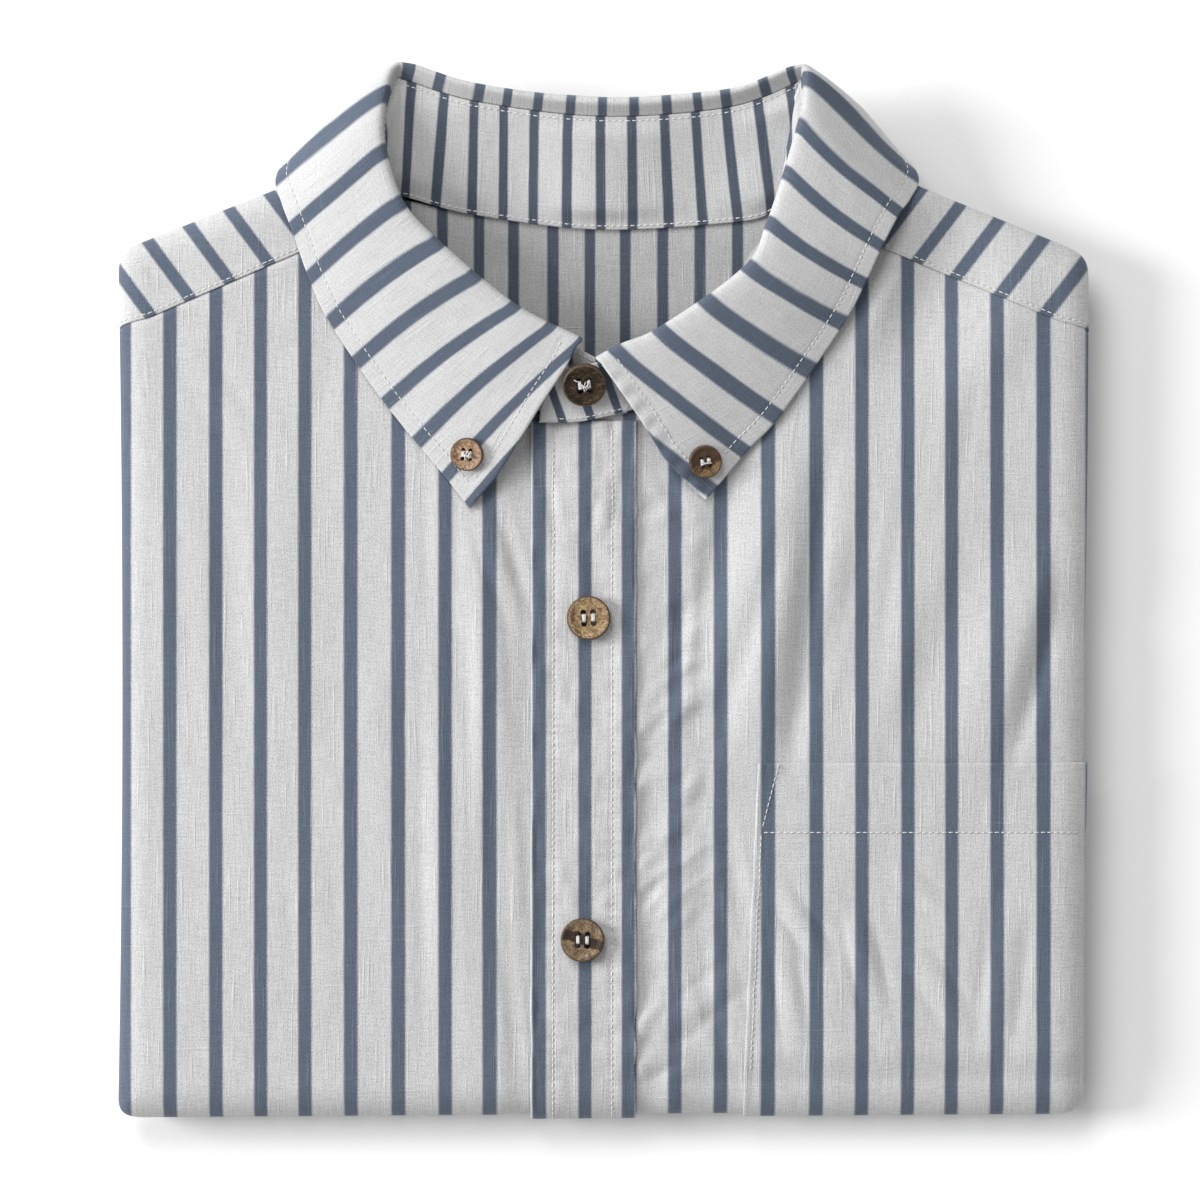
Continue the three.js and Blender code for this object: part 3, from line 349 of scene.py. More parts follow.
def fold_profile(share, fold, depth=None):
    """How far out and how far down the cloth is, at a share of its way round a fold."""
    above, below = (fold["above"], fold["below"]) if depth is None else (depth, depth)
    over = share <= TURN
    angle = np.where(over, share / TURN, clamp((share - TURN) / (TUCK - TURN))) * np.pi / 2
    under = fold["under"] * (1 - np.cos(angle)) + fold["flat"] * clamp((share - TUCK) / (1 - TUCK))
    reach = np.where(over, fold["out"] * np.sin(angle), fold["out"] - under)
    drop = np.where(over, above * (1 - np.cos(angle)), above + below * np.sin(angle))
    return reach, drop


def corner_reach(a, way_a, b, way_b):
    """The step that goes a along one way and b along the other."""
    det = way_a[0] * way_b[1] - way_a[1] * way_b[0]
    return (a * way_b[1] - b * way_a[1]) / det, (b * way_a[0] - a * way_b[0]) / det


def folded(x, y, share_a, way_a, fold_a, share_b, way_b, fold_b):
    """Points of the cloth that goes round two folds, from the flat top at x, y."""
    x, y, share_a, share_b = np.broadcast_arrays(x, y, share_a, share_b)
    height = top_height(x, y)
    share = np.maximum(share_a, share_b)
    size = (share_a ** CORNER_POWER + share_b ** CORNER_POWER) ** (1 / CORNER_POWER)
    a, b = (each / np.maximum(size, 1e-9) for each in (share_a, share_b))
    weight = b ** 2 / np.maximum(a ** 2 + b ** 2, 1e-9)
    halves = [fold_profile(share, fold, (height - UNDER_HEM) / 2 if fold is HEM_FOLD else None)
              for fold in (fold_a, fold_b)]
    reach, drop = (mix(first, second, weight) for first, second in zip(*halves))
    move_x, move_y = corner_reach(a, way_a, b, way_b)
    return np.stack([x + reach * move_x, y + reach * move_y, height - drop], axis=-1)


def fold_arc(shares, fold):
    """Length of cloth from the start of a fold to each share of it."""
    fine = np.linspace(0, 1, 400)
    return np.interp(shares, fine, length_along(np.stack(fold_profile(fine, fold), axis=1)))


def fold_travel(shares, fold):
    """The same, but as far as the turn it is counted as it looks from above."""
    before = np.minimum(shares, TURN)
    return fold_profile(before, fold)[0] + fold_arc(shares, fold) - fold_arc(before, fold)


def lines(start, stop, step, tight_start=False, tight_stop=False):
    """Evenly spaced lines, with a few close ones at an end that is rounded."""
    count = max(2, int(round(abs(stop - start) / step)) + 1)
    values = list(np.linspace(start, stop, count))
    way = 1 if stop > start else -1
    for wanted, end, sign in ((tight_start, start, way), (tight_stop, stop, -way)):
        if wanted:
            values += [end + sign * d for d in (0.06, 0.2, 0.42)]
    return np.array(sorted(set(round(v, 4) for v in values), reverse=way < 0))


# ---- meshes ----
def only(piece=None):
    """Selects one piece alone, or nothing."""
    bpy.ops.object.select_all(action="DESELECT")
    if piece:
        bpy.context.view_layer.objects.active = piece
        piece.select_set(True)


def bare_mesh(name, points, faces):
    mesh = bpy.data.meshes.new(name)
    mesh.from_pydata(points, [], faces)
    mesh.update()
    mesh.polygons.foreach_set("use_smooth", np.ones(len(mesh.polygons), dtype=bool))
    piece = bpy.data.objects.new(name, mesh)
    bpy.context.scene.collection.objects.link(piece)
    return piece


def lay_pattern(piece, cut, stripe):
    """Gives each point its place on the flat cloth, in metres, and the stripe it is at."""
    mesh = piece.data
    corner = np.empty(len(mesh.loops), dtype=np.int32)
    mesh.loops.foreach_get("vertex_index", corner)
    layer = mesh.uv_layers.new(name="cut")
    layer.data.foreach_set("uv", (cut[corner] * MM).astype(np.float32).ravel())
    held = mesh.attributes.new("stripe", "FLOAT", "POINT")
    held.data.foreach_set("value", stripe.astype(np.float32))


def grid_normals(p, facing):
    n = np.cross(np.gradient(p, axis=0), np.gradient(p, axis=1))
    size = np.linalg.norm(n, axis=-1, keepdims=True)
    return facing * n / np.maximum(size, 1e-12)


def raised(p, facing, height):
    """The points of a grid, moved out along its normals."""
    return p + grid_normals(p, facing) * height[..., None]


def border_distance(p):
    """Length along the grid from each point to its nearest border."""
    found = []
    for axis in (0, 1):
        run = length_along(p, axis)
        found.append(np.minimum(run, np.take(run, [-1], axis=axis) - run))
    return np.minimum(*found)


def ring_faces(rings, sides, first=0):
    """Faces that join each ring of points to the next."""
    faces = []
    for k in range(rings - 1):
        for i in range(sides):
            a, b = first + k * sides + i, first + k * sides + (i + 1) % sides
            faces.append((a, b, b + sides, a + sides))
    return faces


def tube_faces(rings, sides, first=0):
    """The same, with both ends closed."""
    last = first + (rings - 1) * sides
    ends = [tuple(first + i for i in range(sides))[::-1], tuple(last + i for i in range(sides))]
    return ring_faces(rings, sides, first) + ends


def cloth_sheet(name, p, thick, u, v, stripe, facing=1, middle=False):
    """A closed thin sheet with rounded edges, from a grid on its outer face or in its middle."""
    n = grid_normals(p, facing)
    half = thick / 2
    swell = np.sqrt(1 - (1 - clamp(border_distance(p) / half)) ** 2)[..., None] * half
    centre = p if middle else p - n * half
    outer, inner = centre + n * swell, centre - n * swell
    columns, rows = p.shape[:2]
    number = np.arange(columns * rows).reshape(columns, rows)
    under = number.copy()
    within = number[1:-1, 1:-1]
    under[1:-1, 1:-1] = np.arange(within.size).reshape(within.shape) + number.size

    def quads(grid, flipped):
        a, b, c, d = grid[:-1, :-1], grid[1:, :-1], grid[1:, 1:], grid[:-1, 1:]
        order = (a, d, c, b) if flipped else (a, b, c, d)
        return np.stack(order, axis=-1).reshape(-1, 4)

    def both_faces(upper, lower):
        size = upper.shape[2:]
        return np.concatenate([upper.reshape(-1, *size), lower[1:-1, 1:-1].reshape(-1, *size)])

    faces = np.concatenate([quads(number, facing < 0), quads(under, facing > 0)])
    piece = bare_mesh(name, (both_faces(outer, inner) * MM).tolist(), faces.tolist())
    u, v, stripe = (np.broadcast_to(each, p.shape[:2]) for each in (u, v, stripe))
    cut = np.stack([u, v], axis=-1)
    lay_pattern(piece, both_faces(cut, cut), both_faces(stripe, stripe))
    return piece


def sheet_area(p):
    a, b, c, d = p[:-1, :-1], p[1:, :-1], p[1:, 1:], p[:-1, 1:]
    return float(np.linalg.norm(np.cross(c - a, d - b), axis=-1).sum() / 2) * MM * MM


# ---- shader graphs ----
class Value:
    """A socket that holds a number, with the arithmetic written as Python."""

    def __init__(self, graph, socket):
        self.graph = graph
        self.socket = socket

    def _math(self, operation, *values):
        return self.graph.node("ShaderNodeMath", dict(operation=operation), *values).out()

    def __add__(self, other):
        return self._math("ADD", self, other)

    def __radd__(self, other):
        return self._math("ADD", other, self)

    def __sub__(self, other):
        return self._math("SUBTRACT", self, other)

    def __rsub__(self, other):
        return self._math("SUBTRACT", other, self)

    def __mul__(self, other):
        return self._math("MULTIPLY", self, other)

    def __rmul__(self, other):
        return self._math("MULTIPLY", other, self)

    def __abs__(self):
        return self._math("ABSOLUTE", self)

    def fraction(self):
        return self._math("FRACT", self)

    def between(self, low, high):
        """0 at low and 1 at high, with a soft start and end."""
        settings = dict(interpolation_type="SMOOTHSTEP")
        return self.graph.node("ShaderNodeMapRange", settings, self, low, high, 0.0, 1.0).out()


class Node:
    def __init__(self, graph, node):
        self.graph = graph
        self.node = node

    def out(self, which=0):
        return Value(self.graph, self.node.outputs[which])


class Graph:
    def __init__(self, name):
        self.material = bpy.data.materials.new(name)
        self.material.use_nodes = True
        self.tree = self.material.node_tree
        self.tree.nodes.clear()

    def feed(self, socket, value):
        if isinstance(value, Value):
            self.tree.links.new(value.socket, socket)
        else:
            socket.default_value = value

    def node(self, kind, settings=None, *values, **named):
        """A node of a type, with its settings and the values or links of its sockets."""
        node = self.tree.nodes.new(kind)
        for key, value in (settings or {}).items():
            setattr(node, key, value)
        for which, value in list(enumerate(values)) + list(named.items()):
            self.feed(node.inputs[which if isinstance(which, int) else which.replace("_", " ")], value)
        return Node(self, node)

    def mixed(self, factor, a, b):
        node = self.node("ShaderNodeMix", dict(data_type="RGBA"))
        for which, value in ((0, factor), (6, a), (7, b)):
            self.feed(node.node.inputs[which], value)
        return node.out(2)

    def place(self):
        """The place in the object, in metres."""
        return self.node("ShaderNodeTexCoord").out(3)

    def noise(self, vector, scale, detail=2.0, roughness=0.5):
        return self.node("ShaderNodeTexNoise", {}, Vector=vector, Scale=scale, Detail=detail,
                         Roughness=roughness).out()

    def yarn_noise(self, cut, across, along, detail=1.0, roughness=0.5):
        """Unevenness of cloth, counted in bumps for each millimetre across and along."""
        scale = (across * 1000.0, along * 1000.0, 1000.0)
        stretched = self.node("ShaderNodeMapping", {}, Vector=cut, Scale=scale).out()
        return self.noise(stretched, 1.0, detail, roughness)

    def bump(self, height, strength, distance):
        return self.node("ShaderNodeBump", {}, Strength=strength, Distance=distance, Height=height).out()

    def finish(self, **surface):
        shader = self.node("ShaderNodeBsdfPrincipled", {}, **surface)
        output = self.tree.nodes.new("ShaderNodeOutputMaterial")
        self.tree.links.new(shader.out().socket, output.inputs[0])
        return self.material


WHITE = (0.645, 0.645, 0.647, 1.0)
WHITE_SHADE = (0.395, 0.395, 0.397, 1.0)
SLATE = (0.119, 0.149, 0.200, 1.0)
SLATE_DEEP = (0.068, 0.087, 0.124, 1.0)
SLUB = (0.80, 0.797, 0.785, 1.0)
NEP = (0.30, 0.29, 0.28, 1.0)
THREAD = (0.72, 0.72, 0.71, 1.0)
# Dark and paler ridges round each button's rim: partly the real bark of the shell, partly painted shade
# along the rim
BARK_AND_RIM_SHADE = ((0.030, 0.018, 0.011, 1.0), (0.14, 0.09, 0.05, 1.0))
FLOOR = ((0.93, 0.93, 0.93, 1.0), (0.95, 0.95, 0.95, 1.0))
# A stripe, in shares of the pitch: how far from its centre its dye begins to fade, and ends
STRIPE_EDGE = (0.115, 0.185)
# Lines across two of the shells: slope, place, and how far they wander
DARK_BAND = dict(slope=-0.34, place=-0.1183, wander=0.003, edge=(0.0016, 0.0021),
                 colour=(0.028, 0.014, 0.010, 1.0))
DARK_SIDE = dict(slope=0.25, place=0.0338, wander=0.006, edge=(-0.0008, 0.0012),
                 colour=(0.045, 0.025, 0.014, 1.0))


def deeper(colour, share):
    return tuple(c * share for c in colour[:3]) + (1.0,)


def cloth_material(name, crispness=1.0, ground_and_shade=1.0, dye_and_shade=1.0):
    """Slubby plain weave of cotton and linen, with stripes in the warp. The last two numbers darken the
    white ground and the stripes; on the inside of the neck and on the stand that darkening is painted
    shade.
    """
    g = Graph(name)
    cut = g.node("ShaderNodeUVMap", dict(uv_map="cut")).out()
    stripe = g.node("ShaderNodeAttribute", dict(attribute_name="stripe")).out(2)
    warp = g.yarn_noise(cut, 2.1, 0.10, 3.0, 0.6)
    weft = g.yarn_noise(cut, 0.16, 2.1, 3.0, 0.6)
    slub = g.yarn_noise(cut, 0.9, 0.035).between(0.60, 0.74)
    weft_slub = g.yarn_noise(cut, 0.035, 0.9).between(0.64, 0.78)
    grain = g.yarn_noise(cut, 2.4, 2.0, 2.0, 0.8)
    nep = g.yarn_noise(cut, 0.8, 0.5).between(0.76, 0.80)
    cloud = g.yarn_noise(cut, 0.05, 0.012, 2.0)
    # Stripes: dyed warp yarns that fade out over a yarn or two at each side
    wander = (g.yarn_noise(cut, 0.4, 0.12, 2.0) - 0.5) * 0.02
    ragged = (grain - 0.5) * 0.05
    off = abs((stripe + wander + ragged + 0.5).fraction() - 0.5)
    dyed = 1 - off.between(*STRIPE_EDGE)
    contrast = (warp - 0.5) * 0.9 + (grain - 0.5) * 2.4 + (weft - 0.5) * 0.8 + (cloud - 0.5) * 0.3
    shade = (contrast * crispness + 0.58).between(0.0, 1.0)
    white = g.mixed(shade, deeper(WHITE_SHADE, ground_and_shade), deeper(WHITE, ground_and_shade))
    slate = g.mixed(shade, deeper(SLATE_DEEP, dye_and_shade), deeper(SLATE, dye_and_shade))
    fleck = (slub * 0.12 + weft_slub * 0.10) * (1 - dyed * 0.7) * crispness
    colour = g.mixed(nep * 0.35, g.mixed(fleck, g.mixed(dyed, white, slate), SLUB), NEP)
    height = warp * 0.45 + weft * 0.3 + grain * 0.8 + slub * 0.35 + weft_slub * 0.25
    return g.finish(Base_Color=colour, Roughness=0.86 + (grain - 0.5) * 0.12,
                    Normal=g.bump(height, 0.7 * crispness, 0.0005),
                    Sheen_Weight=0.12, Sheen_Roughness=0.5, Specular_IOR_Level=0.25)


def thread_material(name, colour):
    g = Graph(name)
    twist = g.noise(g.place(), 4200.0)
    tint = g.mixed(twist.between(0.3, 0.75), colour, deeper(colour, 0.72))
    return g.finish(Base_Color=tint, Roughness=0.75, Normal=g.bump(twist, 0.4, 0.0001))


def coconut_material(name, shell, turn):
    """Sawn coconut shell: streaks of pale and dark fibre and short cracks, lightly polished."""
    face, dark, pale = (colour + (1.0,) for colour in SHELLS[shell])
    g = Graph(name)
    place = g.place()
    turned = g.node("ShaderNodeMapping", {}, Vector=place, Rotation=(0.0, 0.0, math.radians(turn))).out()
    streaks = g.node("ShaderNodeMapping", {}, Vector=turned, Scale=(300.0, 1300.0, 500.0)).out()
    fibre = g.noise(streaks, 1.0, 4.0, 0.7)
    patch = g.noise(turned, 330.0, 3.0, 0.65)
    speck = g.noise(turned, 1500.0, 2.0, 0.6)
    crack = abs(g.noise(turned, 420.0, 3.0, 0.6) - 0.5)
    colour = face
    for mark, tint in ((patch.between(0.48, 0.66), dark), (fibre.between(0.5, 0.7), pale),
                       (1 - crack.between(0.0, 0.035), dark), (speck.between(0.52, 0.64), dark)):
        colour = g.mixed(mark * 0.8, colour, tint)
    along = g.node("ShaderNodeSeparateXYZ", {}, place)

    def line_of(mark):
        return along.out(1) - along.out(0) * mark["slope"] + (patch - 0.5) * mark["wander"] - mark["place"]

    if shell == "banded":
        band_here = 1 - abs(line_of(DARK_BAND)).between(*DARK_BAND["edge"])
        colour = g.mixed(band_here * 0.93, colour, DARK_BAND["colour"])
    if shell == "brown":
        colour = g.mixed(line_of(DARK_SIDE).between(*DARK_SIDE["edge"]) * 0.8, colour, DARK_SIDE["colour"])
    height = fibre * 0.5 + speck * 0.5 + crack
    return g.finish(Base_Color=colour, Roughness=0.42 + (fibre - 0.5) * 0.3,
                    Normal=g.bump(height, 0.4, 0.0002), Specular_IOR_Level=0.3)


def bark_and_rim_shade_material():
    """The dark outside of the shell, left on round the rim of each button; the dark line it draws round
    the rim is also painted shade where the button meets the cloth.
    """
    g = Graph("coconut_bark_and_rim_shade")
    ridges = g.noise(g.place(), 1500.0, 3.0, 0.7)
    return g.finish(Base_Color=g.mixed(ridges.between(0.35, 0.7), *BARK_AND_RIM_SHADE), Roughness=0.6,
                    Normal=g.bump(ridges, 0.5, 0.0002))


bark_and_rim_shade = bark_and_rim_shade_material()
body_cloth = cloth_material("striped_cotton")
collar_cloth = cloth_material("collar_cotton", 0.7, 1.0, 0.9)
# Cloth of the collar stand: its stripes are darkened as painted shade of the neck
stand_cloth_shaded_stripes = cloth_material("stand_cotton_shaded_stripes", 0.75, 1.0, 0.72)
# Cloth of the inside of the neck: its ground and stripes are darkened as painted shade, where it lies deep
# behind the collar
inside_cloth_painted_shade = cloth_material("inside_cotton_painted_shade", 1.0, 0.76, 0.66)
thread = thread_material("sewing_thread", THREAD)


def dress(piece, material, node=None):
    piece.data.materials.clear()
    piece.data.materials.append(material)
    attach(piece, "root")
    if node:
        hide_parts(node)
    return piece


def sewn(name, p, thick, u, v, stripe, cloth=body_cloth, slot="striped_cotton", **lie):
    """A sheet of cloth in the place of the CAD node of the same name."""
    return dress(cloth_sheet(name, p, thick, u, v, stripe, **lie), cloth, name)


# ---- fronts, placket and pocket ----
STEP = 1.35
PLACKET_STEP = 0.85
HEM_WAY = (0.0, -1.0)
FOLD_LINES = 26


def front_top(side, x):
    s = SHOULDER[side]
    at_neck = read_table(NECKLINE, x)
    at_seam = mix(s["seam_neck"], s["seam_side"], (x - s["neck_x"]) / (side * SIDE_START - s["neck_x"]))
    return np.where(np.abs(x) < abs(s["neck_x"]), at_neck, at_seam)


def hem_shares(most=1.0, count=FOLD_LINES):
    return np.linspace(most, 0, count + 1)[:-1]


def round_side(flat, shares, end):
    """Lines over the flat of a piece and then round a fold: where each is, and its share."""
    place = np.concatenate([flat, np.full(len(shares), end)])
    return place, np.concatenate([np.zeros(len(flat)), shares])


def up_from_hem(rows, hems):
    """Lines round the hem fold, from underneath, and then up the front, as one row each."""
    t = np.concatenate([np.zeros(len(hems)), rows])
    return t[None, :], np.concatenate([hems, np.zeros(len(rows))])[None, :]


def front_points(side, x, side_share, t, hem_share, top):
    y = mix(HEM_START, top - SEAM_DROP * side_share, t)
    return folded(x, y, side_share, (side, 0.0), SIDE_FOLD, hem_share, HEM_WAY, HEM_FOLD), y


def warp_place(p, side, side_share):
    """How far across the cloth each point is: straight up and down as seen from above."""
    return p[..., 0] + side * (fold_travel(side_share, SIDE_FOLD) - fold_profile(side_share, SIDE_FOLD)[0])


def front_cloth(name, side, inner_x, stripes, lap):
    xs = lines(inner_x, side * SIDE_START, STEP, tight_start=True)
    columns = round_side(xs, np.linspace(0, 1, FOLD_LINES + 1)[1:], side * SIDE_START)
    x, side_share = (each[:, None] for each in columns)
    t, hem_share = up_from_hem(np.linspace(0, 1, int(290 / STEP)), hem_shares())
    seam = front_top(side, x)
    under_yoke = np.abs(x) > abs(SHOULDER[side]["neck_x"]) - 1
    p, y = front_points(side, x, side_share, t, hem_share, seam + UNDER_YOKE["margin"] * under_yoke)
    # The shoulder edge goes in under the yoke
    from_seam = y - (seam - SEAM_DROP * side_share)
    p = raised(p, side, -UNDER_YOKE["dip"] * smooth(from_seam / UNDER_YOKE["reach"] + 0.8) * under_yoke)
    if lap:
        dip = smooth((x - OVERLAP["dip_start"]) / (OVERLAP["dip_end"] - OVERLAP["dip_start"]))
        p = raised(p, side, -OVERLAP["lap"] * dip)
    p = settle(p)
    stripe = stripe_index(stripes, warp_place(p, side, side_share))
    u, v = x + side * fold_arc(side_share, SIDE_FOLD), y - fold_arc(hem_share, HEM_FOLD)
    return sewn(name, p, CLOTH, u, v, stripe, facing=side), p


front_right, right_grid = front_cloth("front_right", -1, 6.0, FRONT_RIGHT_STRIPES, True)
front_left, left_grid = front_cloth("front_left", 1, -21.5, FRONT_LEFT_STRIPES, False)


def placket_relief(x, y):
    """Grooves along the two rows of stitches, and the puckers that they draw in."""
    relief = 0.60 * rough((x + 0.35 * y) / 8, y / 10, 11) + 0.24 * rough(x / 3.5, y / 4.5, 12)
    for k, line in enumerate(PLACKET_STITCHES):
        gather = np.sin(y / 0.95 + 0.25 * x + 6 * rough(y / 13, k, 13))
        gather = gather * (0.5 + 0.5 * rough(y / 17, k + 3, 14))
        relief = relief - 0.34 * ridge(x - line, 0.7) + 0.28 * ridge(x - line, 3.4) * gather
    from_left = x - PLACKET["left"]
    rolled = 0.55 * smooth(1 - from_left / 1.6) * smooth((-50 - y) / 40)
    return relief * smooth(np.minimum(from_left, PLACKET["right"] - x) / 1.5) + rolled


def flat_of_hem(hem_share):
    """1 on the top, going to 0 as the cloth turns down at the hem, where relief ends."""
    return 1 - smooth(hem_share * 2.2)


def placket_piece():
    x = lines(PLACKET["left"], PLACKET["right"], PLACKET_STEP, True, True)[:, None]
    t, hem_share = up_from_hem(np.linspace(0, 1, 240), hem_shares())
    p, y = front_points(1, x, np.zeros_like(x), t, hem_share, PLACKET["top"])
    relief = placket_relief(x, y) * flat_of_hem(hem_share)
    p = settle(raised(p, 1, PLACKET["lift"] + relief))
    v = y - fold_arc(hem_share, HEM_FOLD)
    return sewn("placket", p, PLACKET["thick"], x, v, stripe_index(PLACKET_STRIPES, p[..., 0])), p


placket, placket_grid = placket_piece()


def pocket_inside(y):
    share = clamp((y - HEM_START) / (POCKET["top"] - HEM_START))
    return mix(POCKET["inside_hem"], POCKET["inside_top"], share)


def pocket_relief(across, down):
    """Two layers at the turned hem and the inside edge, with a groove at each row of stitches."""
    hem, margin = POCKET["hem"], POCKET["margin"]
    seam = -0.24 * ridge(down - hem, 0.7) - 0.25 * ridge(across - margin, 0.7)
    turned = 0.22 * smooth((hem - down) / 0.8) + 0.35 * smooth((margin - across) / 1.0)
    return seam + turned * smooth(down / 0.6)


def pocket_piece():
    from_inside = np.sort(np.concatenate([lines(0, 1, 1 / 84.0), [0.0007, 0.002, 0.0045]]))
    columns = round_side(from_inside, np.linspace(0, POCKET["side_share"], 17)[1:], 1.0)
    inward, side_share = (each[:, None] for each in columns)
    rows = np.sort(np.concatenate([np.linspace(0, 1, 86), [0.9993, 0.998, 0.9955]]))
    t, hem_share = up_from_hem(rows, hem_shares(POCKET["hem_share"], 19))
    y = mix(HEM_START, POCKET["top"], t)
    x = mix(pocket_inside(y), SIDE_START, inward)
    p = folded(x, y, side_share, (1.0, 0.0), SIDE_FOLD, hem_share, HEM_WAY, HEM_FOLD)
    u = x + fold_arc(side_share, SIDE_FOLD)
    across = u - pocket_inside(y)
    relief = uneven(across, y, UNEVEN["pocket"]) + pocket_relief(across, POCKET["top"] - y)
    p = settle(raised(p, 1, POCKET["lift"] + relief * flat_of_hem(hem_share)))
    stripe = stripe_index(FRONT_LEFT_STRIPES, warp_place(p, 1, side_share))
    v = y - fold_arc(hem_share, HEM_FOLD)
    return sewn("pocket", p, POCKET["thick"], u + CUT_APART["pocket"], v, stripe), p


pocket, pocket_grid = pocket_piece()


# ---- yoke ----
# The stripes of the shoulders run aslant: how far over they go for each millimetre of Y, and
# where they are on the X axis
YOKE_RIGHT_SLANT, YOKE_RIGHT_START, YOKE_RIGHT_PITCH = 0.74, -82.9333, 17.46667
YOKE_LEFT_SLANT = -0.76
YOKE_LEFT_STRIPES = [-13.0133, 3.9867, 20.9867, 37.6533, 57.2533, 77.1867, 96.9867, 116.6533]


def yoke_stripe(side, u, v):
    if side < 0:
        return (u + YOKE_RIGHT_SLANT * v - YOKE_RIGHT_START) / YOKE_RIGHT_PITCH
    return np.interp(u + YOKE_LEFT_SLANT * v, YOKE_LEFT_STRIPES, np.arange(len(YOKE_LEFT_STRIPES)))


def yoke_piece(name, side):
    s = SHOULDER[side]
    size = math.hypot(s["slope"], 1)
    outward = (side * s["slope"] / size, 1 / size)
    fold_lines = np.linspace(0, 1, 25)[1:]
    columns = round_side(np.linspace(0, 1, 70), fold_lines, 1.0)
    along, side_share = (each[:, None] for each in columns)
    rows = np.sort(np.concatenate([np.linspace(0, 1, 20), [0.003, 0.01, 0.022]]))
    t, over = (each[None, :] for each in round_side(rows, fold_lines, 1.0))
    x = mix(mix(s["neck_x"], s["neck_top_x"], t), side * SIDE_START, along)
    slant = s["slope"] * fold_profile(side_share, SIDE_FOLD)[0]
    seam = front_top(side, x) - SEAM_DROP * side_share + slant
    fold_start = s["fold_side"] + s["slope"] * (HALF_WIDTH - np.abs(x)) - SIDE_FOLD["out"] / outward[1]
    y = mix(seam, fold_start, t)
    p = folded(x, y, side_share, (side, 0.0), SIDE_FOLD, over, outward, SIDE_FOLD)
    from_seam = (y - seam) * (1 - smooth(over * 3))
    relief = 0.25 * smooth(1 - from_seam / 7) * smooth(from_seam / 0.5)
    relief = relief - 0.16 * ridge(from_seam - YOKE_STITCH, 0.5) + 0.10 * rough(x / 9, y / 9, 31)
    p = settle(raised(p, side, relief * (over < 0.01)))
    past = fold_arc(over, SIDE_FOLD) - fold_arc(np.minimum(over, TURN), SIDE_FOLD)
    seen_x = warp_place(p, side, side_share) + 0.3 * side * past
    seen_y = np.where(over > TURN, y + SIDE_FOLD["out"] + past, p[..., 1])
    u, v = x + side * fold_arc(side_share, SIDE_FOLD), y + fold_arc(over, SIDE_FOLD) - slant
    return sewn(name, p, CLOTH, u, v, yoke_stripe(side, seen_x, seen_y), facing=side), p


yoke_right, yoke_right_grid = yoke_piece("yoke_shoulder_right", -1)
yoke_left, yoke_left_grid = yoke_piece("yoke_shoulder_left", 1)


def lean_at(stripe):
    """How far the leaf leans away at a stripe: 0 at the front and 1 at the back of the neck."""
    return COLLAR_BACK.get(stripe, (0, 0))[1]


def inside_yoke_piece():
    left, right = INSIDE_YOKE["left"], INSIDE_YOKE["right"]
    x = np.linspace(left, right, 104)[:, None]
    middle = (left + right) / 2
    back = INSIDE_YOKE["back"] + INSIDE_YOKE["back_lift"] * ((x - middle) / (right - middle)) ** 2
    y = mix(read_table(NECKLINE, x) + INSIDE_YOKE["inset"], back, np.linspace(0, 1, 54)[None, :])
    hang = 0.5 * np.sin(np.pi * clamp((x + 30) / 40)) * smooth((y - 70) / 30)
    z = INSIDE_YOKE["low"] + 0.9 + uneven(x, y, UNEVEN["inside_yoke"]) + hang
    # It rises to meet the seam of the stand, all the way round
    base = [(row[5], row[6], mix(20.9, BACK_SEAM_HEIGHT, lean_at(row[0]))) for row in COLLAR[2:-2]]
    seam_x, seam_y, seam_z = np.array([p for p in through(base, np.linspace(0, 1, 160)) if p[1] > 80]).T
    away = np.hypot(x[..., None] - seam_x, y[..., None] - seam_y)
    target = seam_z[np.argmin(away, axis=-1)] - INSIDE_YOKE["below_seam"]
    target = np.minimum(target, INSIDE_YOKE["highest"])
    near = smooth(1.25 - np.min(away, axis=-1) / INSIDE_YOKE["meets"])
    z = mix(z, np.maximum(z, target), near)
    p = np.stack(np.broadcast_arrays(x, y, z), axis=-1)
    stripe = stripe_index(INSIDE_YOKE_STRIPES, x)
    return sewn("yoke_inside", p, INSIDE_CLOTH, x, y, stripe, inside_cloth_painted_shade), p


yoke_inside, inside_grid = inside_yoke_piece()


# ---- collar ----
collar_rows = np.array(COLLAR, dtype=float)
last_row = len(COLLAR) - 1
stripes_at = collar_rows[:, 0]
roll_xy = collar_rows[:, 1:3]
lean = np.array([lean_at(row[0]) for row in COLLAR], dtype=float)
along_neck = roll_xy[np.minimum(np.arange(len(COLLAR)) + 1, last_row)]
along_neck = along_neck - roll_xy[np.maximum(np.arange(len(COLLAR)) - 1, 0)]
outward = np.stack([-along_neck[:, 1], along_neck[:, 0], np.zeros(len(COLLAR))], axis=1)
outward /= np.linalg.norm(outward, axis=1, keepdims=True)


def neck_line(xy, height, shift=(0, 0)):
    """A line along the neck, set off outwards by its own shift at the front and at the back."""
    return np.concatenate([xy, height[:, None]], axis=1) + outward * mix(*shift, lean)[:, None]


roll_height = mix(*ROLL_HEIGHT, lean)
edge_height = top_height(collar_rows[:, 3], collar_rows[:, 4], False) + LEAF_REST
edge_height = edge_height + read_table(LEAF_LIFT, stripes_at)
for k, row in enumerate(COLLAR):
    if row[0] in COLLAR_BACK:
        edge_height[k] = COLLAR_BACK[row[0]][0]
edge_line = neck_line(collar_rows[:, 3:5], edge_height)
seam_line = neck_line(roll_xy, roll_height - mix(*SEAM_DOWN, lean), SEAM_SHIFT)
crest_line = neck_line(roll_xy, roll_height, CREST_SHIFT)
belly_line = (neck_line(roll_xy, roll_height) + edge_line) / 2 + outward * (BELLY[1] * lean)[:, None]
belly_line[:, 2] += BELLY[0] * (1 - lean)
LEAF_LINES = (seam_line, crest_line, belly_line, edge_line)
# The share of the way from seam to edge where the leaf folds over
CREST = 1 / 3


def station_of(stripe):
    return np.interp(stripe, stripes_at, np.arange(len(COLLAR))) / last_row


